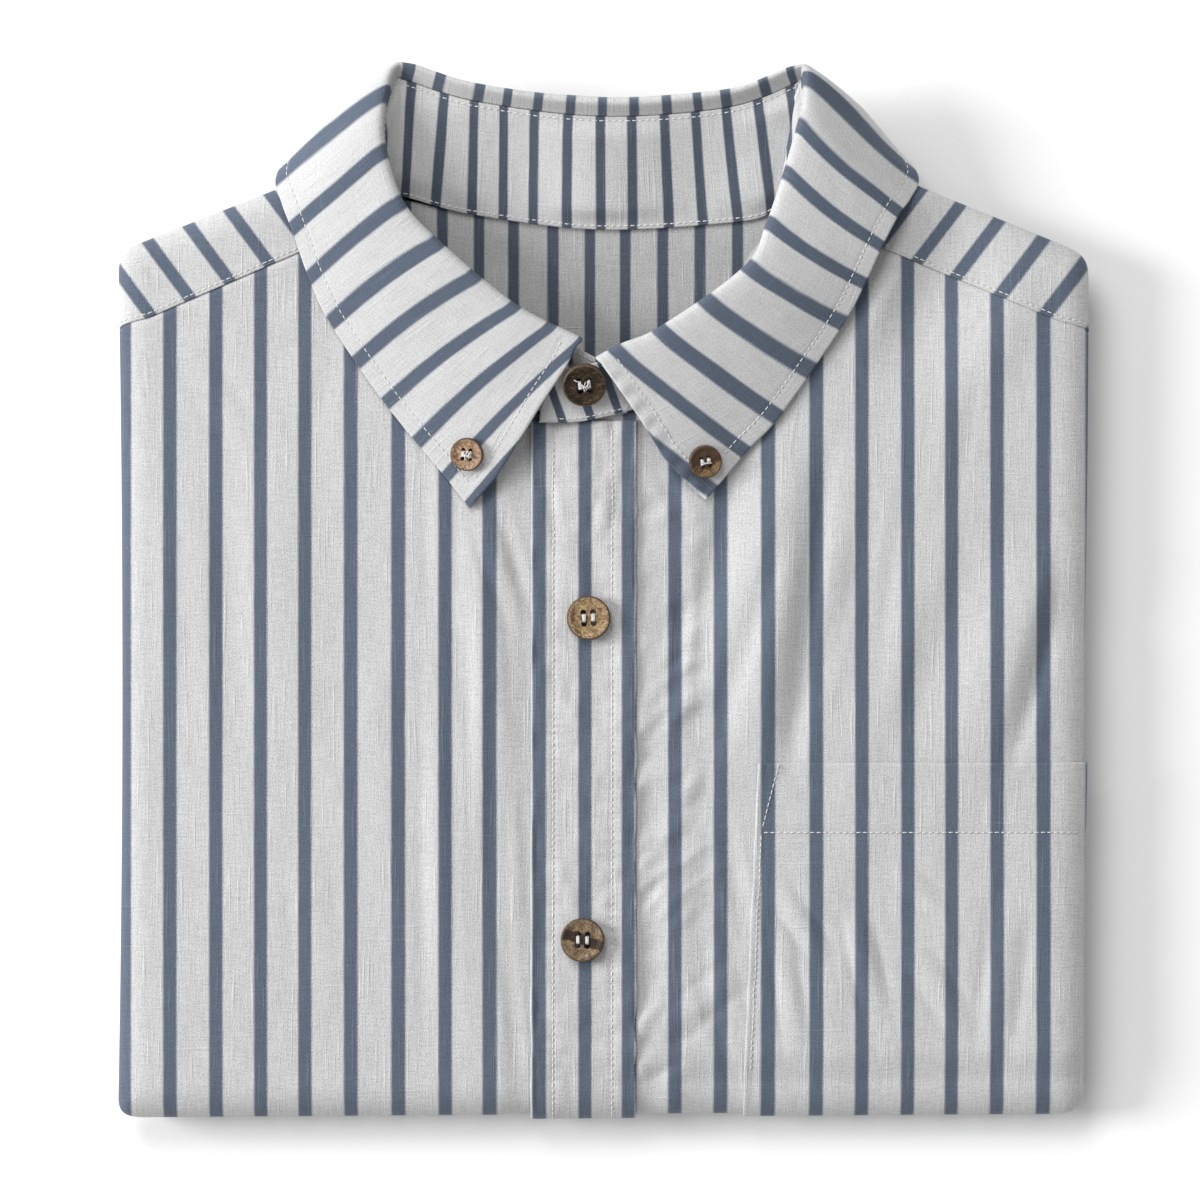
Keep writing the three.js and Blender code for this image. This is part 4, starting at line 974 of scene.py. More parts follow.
def leaf_at(station, across):
    """A point of the leaf: station 0 to 1 round the neck, across 0 to 1 from seam to edge."""
    station, across = paired(station, across)
    q = [through(line, station) for line in LEAF_LINES]
    at = clamp(across) * 3
    k = np.minimum(np.floor(at).astype(int), 2)[..., None]
    padded = [2 * q[0] - q[1]] + q + [2 * q[3] - q[2]]
    pick = lambda i: np.where(k == 0, padded[i], np.where(k == 1, padded[i + 1], padded[i + 2]))
    return bend(*(pick(i) for i in range(4)), at[..., None] - k)


def front_end(edge, across, outside, inside):
    """The stripe that the leaf has reached where its cut front edge is."""
    sign = 1 if inside > 7 else -1
    outside, inside = (np.full(len(across), float(stripe)) for stripe in (outside, inside))
    for _ in range(26):
        middle = (outside + inside) / 2
        p = leaf_at(station_of(middle), across)
        beyond = (p[:, 0] - read_table(edge, p[:, 1])) * sign < 0
        outside, inside = np.where(beyond, middle, outside), np.where(beyond, inside, middle)
    return inside


def leaf_columns(first, last):
    """Stripes at even steps along the outer edge, closer at the two cut ends."""
    fine = np.linspace(station_of(first), station_of(last), 900)
    run = length_along(through(edge_line, fine))
    stations = np.interp(np.linspace(0, run[-1], 390), run, fine)
    stripe = np.interp(stations * last_row, np.arange(len(COLLAR)), stripes_at)
    close = np.array([0.05, 0.2, 0.45])
    return np.concatenate([
        stripe[:1], stripe[0] + close * (stripe[1] - stripe[0]), stripe[1:-1],
        stripe[-1] - close[::-1] * (stripe[-1] - stripe[-2]), stripe[-1:],
    ])


# How deep the seam allowance of the leaf is, and how far it stands back, at each of its rows
ALLOWANCE = [(3.4, 1.35), (2.0, 1.25), (0.7, 0.7)]


def leaf_stripe(s, inward):
    """The stripe at each place, from the stripe at the outer edge of the leaf."""
    s = np.where(s < -7, -7 + (s + 7) / 0.7, s)
    shift = np.interp(s, [12.8, 13.7, 14.4, 15.2, 16], [0, 0.28, 0.06, -0.16, 0])
    from_crest = clamp((inward - CREST) * 1.5)
    bow = 4 * from_crest * (1 - from_crest)
    return s + shift * smooth((0.95 - inward) / 0.6) - 0.07 * bow * smooth(np.abs(s - 6.5) / 7.0 - 0.4)


def leaf_piece():
    across = np.concatenate([np.linspace(0, 0.34, 22), np.linspace(0.34, 1, 58), [0.9985, 0.995, 0.99]])
    across = np.unique(across)
    crest = int(np.argmin(abs(across - CREST)))
    first = front_end(LEAF_FRONT_RIGHT, across, stripes_at[0], -4)
    last = front_end(LEAF_FRONT_LEFT, across, stripes_at[-1], 19)
    first[:crest], last[:crest] = first[crest], last[crest]
    stripe = leaf_columns(first[crest], last[crest])
    # The columns near an end lean over to run along its slanting cut
    s = stripe[:, None]
    reach = 2.6
    pull_first = (first - first[crest])[None, :] * smooth(1 - (s - stripe[0]) / reach)
    pull_last = (last - last[crest])[None, :] * smooth(1 - (stripe[-1] - s) / reach)
    s = s + pull_first + pull_last
    across = across[None, :]
    p = leaf_at(station_of(s), across)
    u_lines, v = length_along(p, 0), length_along(p, 1)
    u = u_lines[:, [across.size * 2 // 3]]
    end = np.minimum(u_lines, u_lines[-1:, :] - u_lines)
    border = np.minimum(v[:, -1:] - v, np.where(across > 0.30, end, 99.0))
    relief = -0.20 * ridge(border - LEAF_STITCH, 0.6) + 0.10 * smooth(1 - border / LEAF_STITCH)
    relief = relief + uneven(u, v, UNEVEN["leaf"])
    gather = np.sin(v / 1.15 + 2.5 * rough(v / 9, 1.5, 53)) * smooth(1 - end / (LEAF_STITCH + 1.5))
    gather = gather * np.where(u_lines > u_lines[-1:, :] / 2, 0.36, 0.12)
    relief = relief + gather * smooth(end / 0.8) * smooth((across - 0.36) / 0.1)
    relief = relief * smooth(border / 0.5) * smooth((across - 0.2) / 0.15)
    n = grid_normals(p, 1)
    facing = 1 if n[len(p) // 2, crest][2] > 0 else -1
    p = p + n * facing * relief[..., None]
    # The seam allowance goes down behind the top of the stand
    down = p[:, 0] - p[:, 2]
    down /= np.linalg.norm(down, axis=1, keepdims=True)
    tucked = [p[:, 0] + down * depth - n[:, 0] * facing * back for depth, back in ALLOWANCE]
    p = np.concatenate([np.stack(tucked, axis=1), p], axis=1)
    v = np.concatenate([v[:, :1] - [depth for depth, _ in ALLOWANCE], v], axis=1)
    s = np.concatenate([s[:, :1]] * len(ALLOWANCE) + [s], axis=1)
    inward = np.concatenate([np.zeros((1, len(ALLOWANCE))), across], axis=1)
    piece = sewn("collar_leaf", p, COLLAR_CLOTH, u, v + CUT_APART["leaf"], leaf_stripe(s, inward),
                 collar_cloth, "collar_cotton", facing=facing, middle=True)
    return piece, p, facing


collar_leaf, leaf_grid, leaf_facing = leaf_piece()


def stand_lines():
    """The neck seam and the top of the stand, from one crossed end to the other."""
    pairs = list(STAND_UNDER_END)
    for k in range(2, len(COLLAR) - 2):
        x, y = collar_rows[k, 5:7]
        front_z = float(top_height(x, y, False)) + LEAF_REST
        base = np.array([x, y, mix(front_z, BACK_SEAM_HEIGHT, lean[k])])
        way = seam_line[k] - base
        way /= np.linalg.norm(way)
        pairs.append((base, seam_line[k] - way * 0.9 - np.array([0, 0, 0.3 * (1 - lean[k])])))
    return zip(*(pairs + STAND_OUTER_END))


stand_base, stand_top = (list(line) for line in stand_lines())


def stand_at(station, across):
    station, across = paired(station, across)
    p = mix(through(stand_base, station), through(stand_top, station), across[..., None])
    p[..., 2] -= STAND_BOW * np.sin(np.pi * across)
    return p


def stand_piece():
    fine = np.linspace(0, 1, 900)
    run = length_along(stand_at(fine, 0.5))
    stations = np.interp(lines(0, run[-1], 1.05, True, True), run, fine)[:, None]
    across = np.concatenate([np.linspace(0, 1, 38), [0.002, 0.006, 0.012, 0.988, 0.994, 0.998]])
    across = np.unique(across)[None, :]
    p = stand_at(stations, across)
    u, v = np.interp(stations, fine, run), length_along(p, 1)
    rise = v[:, -1:]
    low_at, high_at = (stripe_index(centres, p[..., 0], STAND_PITCH)
                       for centres in (STAND_STRIPES_LOW, STAND_STRIPES_HIGH))
    # The crossed end at the front has stripes of its own
    front_stripe = 20 + (2.8 + 0.35 * (66 - p[..., 1]) - p[..., 0]) / 9.8
    stripe = mix(mix(low_at, high_at, across), front_stripe, smooth((stations - 0.885) / 0.03))
    relief = -0.16 * ridge(v - STAND_STITCH, 0.5) - 0.16 * ridge(rise - v - STAND_STITCH, 0.5)
    relief = relief + uneven(u, v, UNEVEN["stand"])
    # The back of the stand stands in soft waves between its two seams
    wave = smooth(v / 9) * smooth((rise - v) / 7) * smooth((p[..., 1] - 120) / 8)
    relief = relief + wave * read_softly(STAND_WAVES, p[..., 0])
    facing = 1 if grid_normals(p, 1)[len(p) // 2, 10][1] < 0 else -1
    p = raised(p, facing, relief * smooth(border_distance(p) / 0.8))
    piece = sewn("collar_stand", p, STAND_CLOTH, u, v + CUT_APART["stand"], stripe, stand_cloth_shaded_stripes,
                 "collar_cotton", facing=facing, middle=True)
    return piece, p, facing


collar_stand, stand_grid, stand_facing = stand_piece()


# ---- hidden layers: the back, sleeves and tail, folded under ----
BACK_NECK_Y = 149.0
BASE_INSET = 13.0
# Folded edges that show at the sides: bottom and top of each, how far it is drawn in, and its stripes
LAYERS = [
    (0.0, 2.3, 2.6, 0.30), (2.3, 4.5, 1.6, 0.62), (4.5, 6.7, 2.6, 0.12), (6.7, 8.9, 3.4, 0.85),
]
GROOVE = 2.6
# Above them, up to the rim: height, how far it is drawn in, layer, and its stripes
UPPER = [
    (9.1, 9.5, 4, 0.4), (10.2, 9.8, 4, 0.4), (11.3, 9.5, 4, 0.4), (11.8, 6.5, 5, 0.1),
    (12.6, 4.4, 5, 0.1), (14.2, 2.6, 5, 0.1), (15.6, 4.0, 5, 0.1), (16.4, 7.0, 5, 0.1),
    (16.8, 10.0, 5, 0.1),
]
# Inner edge of the rim, and the tray that the inside of the yoke lies over: height, and how far in
INNER = [(17.0, 13.0), (16.6, 14.4), (11.6, 15.0)]
HEM_INSETS = [
    (0, 13), (2, 12.7), (3.6, 12), (4.5, 11), (5.4, 8.6), (6.8, 6), (8.2, 5), (11.5, 4.6),
    (14.2, 6.6), (16.6, 13),
]
CORNER_INSETS = [(0, 9), (1.0, 9.5), (2.4, 10.8), (11.2, 10.8), (12.4, 8.5), (14.2, 7), (16.6, 12)]
CORNER_TURNS = 14
OUTLINE_STEP = 2.4


def outline_stations():
    """Places round the base: the place, its way out, if it is at the hem, and how much of a corner."""
    def unit(x, y):
        size = math.hypot(x, y)
        return (x / size, y / size)

    right, left = SHOULDER[-1], SHOULDER[1]
    edges = [
        (unit(0, -1), (0, HEM_Y), True), (unit(1, 0), (HALF_WIDTH, 0), False),
        (unit(left["slope"], 1), (HALF_WIDTH, left["fold_side"]), False),
        (unit(0, 1), (0, BACK_NECK_Y), False),
        (unit(-right["slope"], 1), (-HALF_WIDTH, right["fold_side"]), False),
        (unit(-1, 0), (-HALF_WIDTH, 0), False),
    ]
    next_edges = edges[1:] + edges[:1]
    corners = []
    for here, beyond in zip(edges, next_edges):
        c1, c2 = (way[0] * point[0] + way[1] * point[1] - BASE_INSET for way, point, _ in (here, beyond))
        corners.append(corner_reach(c1, here[0], c2, beyond[0]))
    stations = []
    for base, next_base, here, beyond in zip(corners, corners[1:] + corners[:1], edges, next_edges):
        for k in range(CORNER_TURNS + 1):
            angle = k / CORNER_TURNS * math.pi / 2
            a, b = math.cos(angle), math.sin(angle)
            size = (a ** CORNER_POWER + b ** CORNER_POWER) ** (1 / CORNER_POWER)
            out = corner_reach(a / size, here[0], b / size, beyond[0])
            at_hem = here[2] if k < CORNER_TURNS / 2 else beyond[2]
            corner = min(1.0, 1.6 * math.sin(2 * angle)) if here[2] or beyond[2] else 0.0
            stations.append((base, out, at_hem, corner))
        count = int(math.dist(base, next_base) / OUTLINE_STEP)
        for k in range(1, count):
            point = tuple(mix(start, stop, k / count) for start, stop in zip(base, next_base))
            stations.append((point, beyond[0], beyond[2], 0.0))
    return stations


def layer_levels():
    """Heights up the folded edges, with the inset, layer and stripe of each."""
    levels = []
    for k, (low, high, inset, phase) in enumerate(LAYERS):
        steps = np.linspace(0, 1, 9)
        for w in steps if k == len(LAYERS) - 1 else steps[:-1]:
            bulge = math.sqrt(max(0.0, 1 - (2 * w - 1) ** 2))
            if k == 0 and w < 0.5:
                bulge = max(bulge, 0.55)
            levels.append((mix(low, high, w), inset + GROOVE * (1 - bulge), k, phase))
    return levels + UPPER


def hidden_piece():
    base, out, at_hem, corner = (np.array(part, dtype=float) for part in zip(*outline_stations()))
    way = length_along(base)
    count = len(base)
    rings, cuts, marks = [], [], []
    arc = np.zeros(count)
    for z, side_inset, layer, phase in layer_levels():
        wave = 0.55 * rough(way / 21, layer * 7.3, 71) + 0.25 * rough(way / 7, layer * 5.1, 72)
        side = side_inset + (wave + 0.5 if layer < 4 else 0)
        inset = mix(mix(side, read_table(HEM_INSETS, z), at_hem), read_table(CORNER_INSETS, z), corner)
        ring = np.column_stack([base + out * (BASE_INSET - inset)[:, None], np.full(count, z)])
        if rings:
            arc = arc + np.linalg.norm(ring - rings[-1], axis=1)
        rings.append(ring)
        cuts.append(base + out * arc[:, None] + [0, CUT_APART["hidden"]])
        marks.append(cuts[-1][:, 0] / STRIPE_PITCH + phase)
    for z, inset in INNER:
        rings.append(np.column_stack([base + out * (BASE_INSET - inset), np.full(count, z)]))
        cuts.append(cuts[-1])
        marks.append(marks[-1])
    points = settle(np.array(rings))
    # The rim is low behind the neck, where the collar goes down over it
    neck = smooth((points[..., 1] - 122) / 6) * band(points[..., 0], -86, 6, 80, 6)
    points[..., 2] = mix(points[..., 2], np.minimum(points[..., 2], 12.6), neck)
    faces = ring_faces(len(rings), count)
    points = list(points)
    # Underside and lid, closed in towards a middle line
    spine = np.clip(base[:, 1], -120, 100)
    for rim, z in ((0, 0.0), ((len(rings) - 1) * count, INNER[-1][0])):
        inner = len(points) * count
        points.append(settle(np.column_stack([np.zeros(count), spine, np.full(count, z)])))
        cuts.append(points[-1][:, :2] + [0, CUT_APART["underside"]])
        marks.append(points[-1][:, 0] / STRIPE_PITCH)
        for i in range(count):
            j = (i + 1) % count
            ring = (rim + i, rim + j, inner + j, inner + i)
            faces.append(ring if rim else ring[::-1])
    piece = bare_mesh("hidden_layers", (np.concatenate(points) * MM).tolist(), faces)
    lay_pattern(piece, np.concatenate(cuts), np.concatenate(marks))
    only(piece)
    bpy.ops.object.mode_set(mode="EDIT")
    bpy.ops.mesh.select_all(action="SELECT")
    bpy.ops.mesh.remove_doubles(threshold=0.00002)
    bpy.ops.mesh.normals_make_consistent(inside=False)
    bpy.ops.object.mode_set(mode="OBJECT")
    dress(piece, body_cloth, "hidden_layers")


hidden_piece()


# ---- stitches ----
# A stitch: its share of the run, and along it the places, arch and thickness of its rings
STITCH = dict(pitch=2.2, start=0.12, length=1.75, radius=0.2, sides=5)
STITCH_RINGS = [
    (0, -0.22, 0.55), (0.2, 0.03, 1.0), (0.5, 0.09, 1.0), (0.8, 0.03, 1.0), (1.0, -0.22, 0.55),
]
STITCH_LIFT = 0.1
STAND_STITCH_LIFT = 0.6


def read_line(line, run, at):
    return np.stack([np.interp(at, run, line[:, i]) for i in range(3)], axis=1)


def stitches(name, runs):
    """Short tubes of thread along each run, arched up between where they enter the cloth."""
    points, faces = [], []
    sides = STITCH["sides"]
    places, arch, wide = np.array(STITCH_RINGS).T
    angles = [2 * math.pi * i / sides for i in range(sides)]
    for line, normal in runs:
        run = length_along(line)
        for k in range(int(run[-1] / STITCH["pitch"])):
            at = (k + STITCH["start"]) * STITCH["pitch"] + places * STITCH["length"]
            centre, up = read_line(line, run, at), read_line(normal, run, at)
            up /= np.linalg.norm(up, axis=1, keepdims=True)
            way = centre[-1] - centre[0]
            way /= max(np.linalg.norm(way), 1e-9)
            across = np.cross(up, way)
            faces += tube_faces(len(at), sides, len(points))
            for j in range(len(at)):
                for angle in angles:
                    offset = across[j] * math.cos(angle) + up[j] * math.sin(angle)
                    points.append(centre[j] + up[j] * arch[j] + offset * wide[j] * STITCH["radius"])
    dress(bare_mesh(name, (np.array(points) * MM).tolist(), faces), thread)


def grid_run(grid, facing, indices, lift, upward=False):
    """A line on a grid, at fractional places (i, j), with the grid's normals."""
    n = grid_normals(grid, facing)
    i, j = np.array(indices, dtype=float).T
    i0, j0 = (np.minimum(at.astype(int), size - 2) for at, size in zip((i, j), grid.shape))
    a, b = (i - i0)[:, None], (j - j0)[:, None]
    pick = lambda g: mix(mix(g[i0, j0], g[i0 + 1, j0], a), mix(g[i0, j0 + 1], g[i0 + 1, j0 + 1], a), b)
    normal = pick(n)
    if upward:
        normal = normal * np.where(normal[:, 2:] < 0, -1, 1)
    return pick(grid) + normal * lift, normal


def where_equal(values, level, stop=None):
    """For each column, the fractional row where the values cross a level."""
    found = []
    for i, column in enumerate(values[:stop]):
        row = column - level
        cross = np.nonzero(row[:-1] * row[1:] <= 0)[0]
        if len(cross):
            j = cross[-1]
            found.append((i, j + row[j] / (row[j] - row[j + 1] + 1e-12)))
    return found


def column_of(grid, x, row):
    return float(np.interp(x, grid[:, row, 0], np.arange(grid.shape[0])))


def placket_runs():
    grid = placket_grid
    columns = [column_of(grid, line, grid.shape[1] // 2) for line in PLACKET_STITCHES]
    rows = range(FOLD_LINES - 10, grid.shape[1] - 1)
    return [grid_run(grid, 1, [(i, j) for j in rows], STITCH_LIFT) for i in columns]


def pocket_runs():
    """Across the hem of the pocket, down its inside edge, and the slanting row at its corner."""
    grid, margin = pocket_grid, POCKET["margin"]
    last = grid.shape[1] - 1
    hem_y = POCKET["top"] - POCKET["hem"]
    hem_row = float(np.interp(hem_y, grid[40, :, 1], np.arange(last + 1)))
    beside_edge = lambda j, off: column_of(grid, grid[0, j, 0] + off, j)
    hem = [(column_of(grid, POCKET["inside_top"] + off, last - 4), hem_row)
           for off in np.linspace(margin, 108, 60)]
    down = [(beside_edge(j, margin), j) for j in range(int(hem_row), 21, -1)]
    slant = []
    for w in np.linspace(0, 1, 14):
        j = mix(last - 2.5, hem_row, w)
        slant.append((beside_edge(int(j), mix(POCKET["slant"], margin, w)), j))
    return [grid_run(grid, 1, line, STITCH_LIFT) for line in (hem, down, slant)]


def leaf_runs():
    """Along the outer edge of the leaf, and down each of its front edges."""
    u, v = length_along(leaf_grid, 0), length_along(leaf_grid, 1)
    from_edge, from_last = v[:, -1:] - v, u[-1:] - u
    edge = [(i, j) for i, j in where_equal(from_edge, LEAF_STITCH)
            if min(u[i, int(j)], from_last[i, int(j)]) > LEAF_STITCH]
    rows = range(int(leaf_grid.shape[1] * 0.30), leaf_grid.shape[1] - 2)
    columns = np.arange(len(leaf_grid))
    first, last = ([j for j in rows if from_edge[at, j] > LEAF_STITCH - 0.3] for at in (3, -4))
    first = [(float(np.interp(LEAF_STITCH, u[:, j], columns)), j) for j in first]
    last = [(float(np.interp(u[-1, j] - LEAF_STITCH, u[:, j], columns)), j) for j in last]
    return [grid_run(leaf_grid, leaf_facing, line, COLLAR_CLOTH / 2) for line in (edge, first, last)]


def stand_runs():
    v = length_along(stand_grid, 1)
    low, high = (where_equal(height, STAND_STITCH) for height in (v, v[:, -1:] - v))
    return [grid_run(stand_grid, stand_facing, line, STAND_STITCH_LIFT, upward=True)
            for line in (low, high)]


def yoke_run(grid, side):
    return grid_run(grid, side, where_equal(length_along(grid, 1), YOKE_STITCH, 82), STITCH_LIFT)


stitches("stitches_placket", placket_runs())
stitches("stitches_pocket", pocket_runs())
stitches("stitches_collar_leaf", leaf_runs())
stitches("stitches_collar_stand", stand_runs())
stitches("stitches_yoke", [yoke_run(yoke_right_grid, -1), yoke_run(yoke_left_grid, 1)])


# ---- buttons ----
# Sizes of a front button. The smaller ones are the same in proportion, but for their thickness
BUTTON_RADIUS = 7.3
BUTTON_THICK = 2.6
BUTTON_INSETS = ((1.15, 0.0), (0.7, -0.38), (0.9, -0.16), (1.2, 0.0))
HOLE = dict(x=1.62, y=1.85, radius=1.0)
BARK_AND_SHADE_WIDTH = 0.5
# Height of the button's middle above the cloth that it is sewn on
SEAT = dict(leaf=0.25, stand=1.35, placket=0.45)
# The strands in each pair of holes, and the strands that cross them by kind of shell
STRANDS = dict(count=5, apart=0.2, radius=0.17, crossed_radius=0.16)
CROSSED = dict(dark=6, ruddy=4, brown=2)
CROSSED_ENDS = [
    ((-1.9, -0.9), (1.9, 0.5)), ((-1.7, 0.6), (1.8, -1.0)), ((-0.4, -1.9), (0.3, 1.2)),
    ((1.0, -1.0), (1.3, 1.3)), ((-2.9, 2.9), (-0.2, -0.2)), ((0.6, -1.6), (-0.6, 1.0)),
]


def finish_with(piece, kind, **settings):
    """Adds a modifier to a piece and applies it."""
    only(piece)
    modifier = piece.modifiers.new(kind.lower(), kind)
    for key, value in settings.items():
        setattr(modifier, key, value)
    bpy.ops.object.modifier_apply(modifier=modifier.name)


def button_blank(radius):
    """A turned button, face up at the origin: rolled rim, dished middle and four drilled holes."""
    k = radius / BUTTON_RADIUS
    thick = BUTTON_THICK * (0.4 + 0.6 * k)
    only()
    bpy.ops.mesh.primitive_cylinder_add(vertices=64, radius=radius * MM, depth=thick * MM,
                                        location=(0, 0, thick / 2 * MM))
    blank = bpy.context.object
    bpy.ops.object.transform_apply(location=True)
    bpy.ops.object.mode_set(mode="EDIT")
    bpy.ops.mesh.select_mode(type="FACE")
    bpy.ops.mesh.select_all(action="DESELECT")
    bpy.ops.object.mode_set(mode="OBJECT")
    for face in blank.data.polygons:
        face.select = face.normal.z > 0.9
    bpy.ops.object.mode_set(mode="EDIT")
    for thickness, depth in BUTTON_INSETS:
        bpy.ops.mesh.inset(thickness=thickness * k * MM, depth=depth * k * MM)
    bpy.ops.object.mode_set(mode="OBJECT")
    finish_with(blank, "BEVEL", width=0.55 * k * MM, segments=4, limit_method="ANGLE",
                angle_limit=math.radians(50))
    for dx, dy in ((-1, -1), (1, -1), (1, 1), (-1, 1)):
        place = (dx * HOLE["x"] * k * MM, dy * HOLE["y"] * k * MM, 0)
        bpy.ops.mesh.primitive_cylinder_add(vertices=20, radius=HOLE["radius"] * k * MM, depth=0.02,
                                            location=place)
        drill = bpy.context.object
        finish_with(blank, "BOOLEAN", object=drill, solver="EXACT")
        bpy.data.objects.remove(drill)
    # The edges of the rim and the holes are worn
    finish_with(blank, "BEVEL", width=0.12 * k * MM, segments=2, limit_method="ANGLE",
                angle_limit=math.radians(60))
    bpy.ops.object.shade_smooth_by_angle(angle=math.radians(35))
    # The outer band of faces takes the bark colour, which is also painted shade round the rim
    inner = (radius - BARK_AND_SHADE_WIDTH * k) * MM
    rim = [math.hypot(face.center[0], face.center[1]) > inner for face in blank.data.polygons]
    return blank, thick, rim


def tube(points, radius, sides=7):
    """Vertices and faces of a round thread through points."""
    points = np.asarray(points, dtype=float)
    way = np.gradient(points, axis=0)
    way /= np.linalg.norm(way, axis=1, keepdims=True)
    side = np.cross(way, [0.31, 0.17, 0.93])
    side /= np.linalg.norm(side, axis=1, keepdims=True)
    up = np.cross(way, side)
    rings = [points + side * math.cos(a) * radius + up * math.sin(a) * radius
             for a in np.linspace(0, 2 * math.pi, sides, endpoint=False)]
    return np.stack(rings, axis=1).reshape(-1, 3), tube_faces(len(points), sides)


def button_thread(k, thick, seed, crossed):
    """Thread up through the holes of each pair and down again, in the button's own frame."""
    rnd = np.random.RandomState(seed)
    points, faces = [], []

    def add(line, radius):
        vertices, more = tube(line, radius)
        start = sum(len(p) for p in points)
        points.append(vertices)
        faces.extend(tuple(i + start for i in face) for face in more)

    face_z = thick - 0.55
    t = np.linspace(-1, 1, 17)
    for column in (-1, 1):
        for strand in range(STRANDS["count"]):
            from_middle = strand - STRANDS["count"] // 2
            x = column * HOLE["x"] * k * 0.94 + from_middle * STRANDS["apart"]
            x = x + 0.14 * rnd.uniform(-1, 1) * t + 0.06 * rnd.uniform(-1, 1)
            y = HOLE["y"] * k * (0.78 + 0.05 * rnd.uniform(-1, 1)) * t
            height = face_z + 0.34 + 0.12 * rnd.rand() + 0.10 * (1 - abs(from_middle) / 2)
            arch = height - 7.0 * np.maximum(0, np.abs(t) - 0.62) ** 1.3
            add(np.stack([x, y, arch], axis=1), STRANDS["radius"])
    # Crossed strands and a loose end
    t = np.linspace(0, 1, 12)
    for number, (start, stop) in enumerate(CROSSED_ENDS[:crossed]):
        x = mix(start[0], stop[0], t) + 0.22 * np.sin(t * 6 + number)
        y = mix(start[1], stop[1], t) + 0.22 * np.cos(t * 5 + number)
        z = face_z + 0.62 + 0.06 * number + 0.25 * np.sin(np.pi * t)
        add(np.stack([x, y, z], axis=1), STRANDS["crossed_radius"])
    # The shank of thread under the button
    add([[0, 0, -0.9], [0, 0, 0.1], [0, 0, 0.5]], 0.9)
    return np.concatenate(points), faces


def place_on(surface, x, y, a, b):
    """The point of a surface that is at x, y from above, and the way out there."""
    step = 0.001

    def ways(a, b):
        p = surface(a, b)
        return p, surface(a + step, b) - p, surface(a, b + step) - p

    for _ in range(30):
        p, du, dv = ways(a, b)
        du, dv = du / step, dv / step
        det = du[0] * dv[1] - du[1] * dv[0]
        a = float(np.clip(a + ((x - p[0]) * dv[1] - (y - p[1]) * dv[0]) / det, 0, 1))
        b = float(np.clip(b + ((y - p[1]) * du[0] - (x - p[0]) * du[1]) / det, 0, 1))
    p, du, dv = ways(a, b)
    n = np.cross(du, dv)
    n /= np.linalg.norm(n)
    return p, n if n[2] > 0 else -n


def button_seat(button):
    x, y, lift = button["x"], button["y"], SEAT[button["on"]]
    if button["on"] == "placket":
        top = float(top_height(x, y)) + PLACKET["lift"] + lift
        return settle(np.array([x, y, top])), np.array([0.0, 0.0, 1.0])
    if button["on"] == "stand":
        p, n = place_on(stand_at, x, y, 0.965, 0.6)
    else:
        p, n = place_on(leaf_at, x, y, 0.05 if x < 0 else 0.94, 0.85)
        lift = COLLAR_CLOTH / 2 + lift
    return p + n * lift, n


def button_axes(normal, turn):
    """The ways of a button's own x, y and z, lying on the cloth and turned."""
    side = np.cross([0.0, 1.0, 0.0], normal)
    side /= np.linalg.norm(side)
    ahead = np.cross(normal, side)
    c, s = math.cos(turn), math.sin(turn)
    return np.stack([side * c + ahead * s, ahead * c - side * s, normal])


blanks = {radius: button_blank(radius) for radius in (7.3, 5.5)}
for number, button in enumerate(BUTTONS):
    name, shell, radius = button["node"], button["shell"], button["radius"]
    blank, thick, rim = blanks[radius]
    seat, normal = button_seat(button)
    axes = button_axes(normal, math.radians(button["turn"]))
    piece = bpy.data.objects.new(name + "_shell", blank.data.copy())
    bpy.context.scene.collection.objects.link(piece)
    local = np.empty(len(piece.data.vertices) * 3)
    piece.data.vertices.foreach_get("co", local)
    piece.data.vertices.foreach_set("co", (local.reshape(-1, 3) @ axes + seat * MM).ravel())
    piece.data.update()
    dress(piece, coconut_material("coconut_" + name, shell, 35 + 70 * number), name)
    piece.data.materials.append(bark_and_rim_shade)
    piece.data.polygons.foreach_set("material_index", np.array(rim, dtype=np.int32))
    points, faces = button_thread(radius / BUTTON_RADIUS, thick, 90 + number, CROSSED.get(shell, 0))
    knot = bare_mesh(name + "_thread", ((points @ axes + seat) * MM).tolist(), faces)
    dress(knot, thread)
for blank, *_ in blanks.values():
    bpy.data.objects.remove(blank)


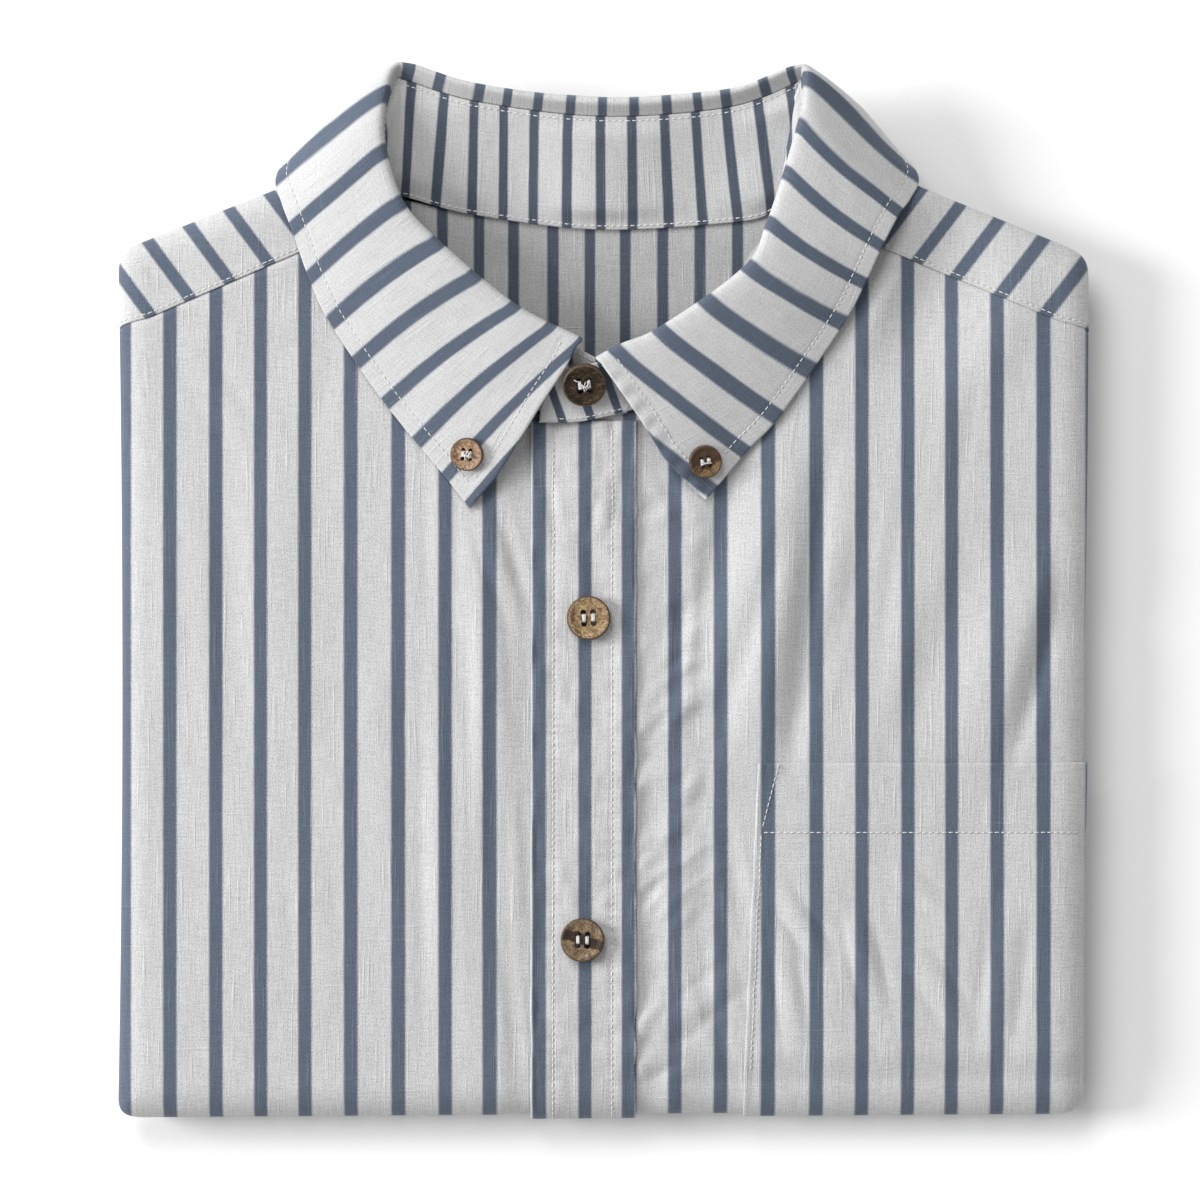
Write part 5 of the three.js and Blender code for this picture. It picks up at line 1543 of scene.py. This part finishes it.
SHEETS = [
    (front_right, right_grid, (0.178, 0.316), "folded", ["hidden_layers"]),
    (front_left, left_grid, (0.193, 0.316), "folded", ["hidden_layers"]),
    (placket, placket_grid, (0.0353, 0.258), "folded", ["front_left"]),
    (pocket, pocket_grid, (0.122, 0.138), "folded", ["front_left"]),
    (yoke_right, yoke_right_grid, (0.096, 0.042), "folded", ["hidden_layers"]),
    (yoke_left, yoke_left_grid, (0.108, 0.042), "folded", ["hidden_layers"]),
    (yoke_inside, inside_grid, (0.136, 0.070), "laid", ["hidden_layers"]),
    (collar_leaf, leaf_grid, (0.43, 0.07), "folded", ["front_right", "front_left"]),
    (collar_stand, stand_grid, (0.39, 0.038), "folded", ["front_right", "front_left"]),
]
for piece, grid, flat, held, rests_on in SHEETS:
    round(sheet_area(grid), 5)


# ---- floor, light and camera ----
def floor_material():
    g = Graph("pale_floor")
    return g.finish(Base_Color=g.mixed(g.noise(g.place(), 3.0), *FLOOR), Roughness=0.9)


only()
bpy.ops.mesh.primitive_plane_add(size=8, location=(0, 0, -0.0002))
floor = bpy.context.object
floor.name = "floor"
floor.data.materials.append(floor_material())


def area_light(name, place, size, power):
    """A round soft window that faces the shirt."""
    light = bpy.data.lights.new(name, "AREA")
    light.shape = "DISK"
    light.size = size
    light.energy = power
    lamp = bpy.data.objects.new(name, light)
    bpy.context.scene.collection.objects.link(lamp)
    lamp.location = place
    x, y, z = place
    lamp.rotation_euler = (math.atan2(math.hypot(x, y), z), 0, math.atan2(x, -y))


area_light("low_window", (-4.48, 0.50, 2.10), 2.2, 260.0)
area_light("high_window", (-1.10, 2.45, 2.75), 2.2, 72.0)

ROOM_LIGHT = 0.465
world = bpy.data.worlds.new("soft_room")
bpy.context.scene.world = world
world.use_nodes = True
room = world.node_tree.nodes["Background"]
room.inputs[0].default_value = (1.0, 1.0, 1.0, 1.0)
room.inputs[1].default_value = ROOM_LIGHT

# The camera looks straight down from far off, and its frame is 0.4 m wide at the top of the shirt
LENS, SENSOR, FRAME_WIDTH, SHIRT_TOP = 300, 36, 0.4, 0.02
camera_data = bpy.data.cameras.new("camera")
camera_data.lens = LENS
camera_data.sensor_width = SENSOR
camera_data.clip_end = 20
camera = bpy.data.objects.new("camera", camera_data)
bpy.context.scene.collection.objects.link(camera)
camera.location = (-0.00117, -0.00283, SHIRT_TOP + FRAME_WIDTH * LENS / SENSOR)
camera.rotation_euler = (0, 0, 0)
bpy.context.scene.camera = camera
bpy.context.scene.view_settings.view_transform = "Standard"
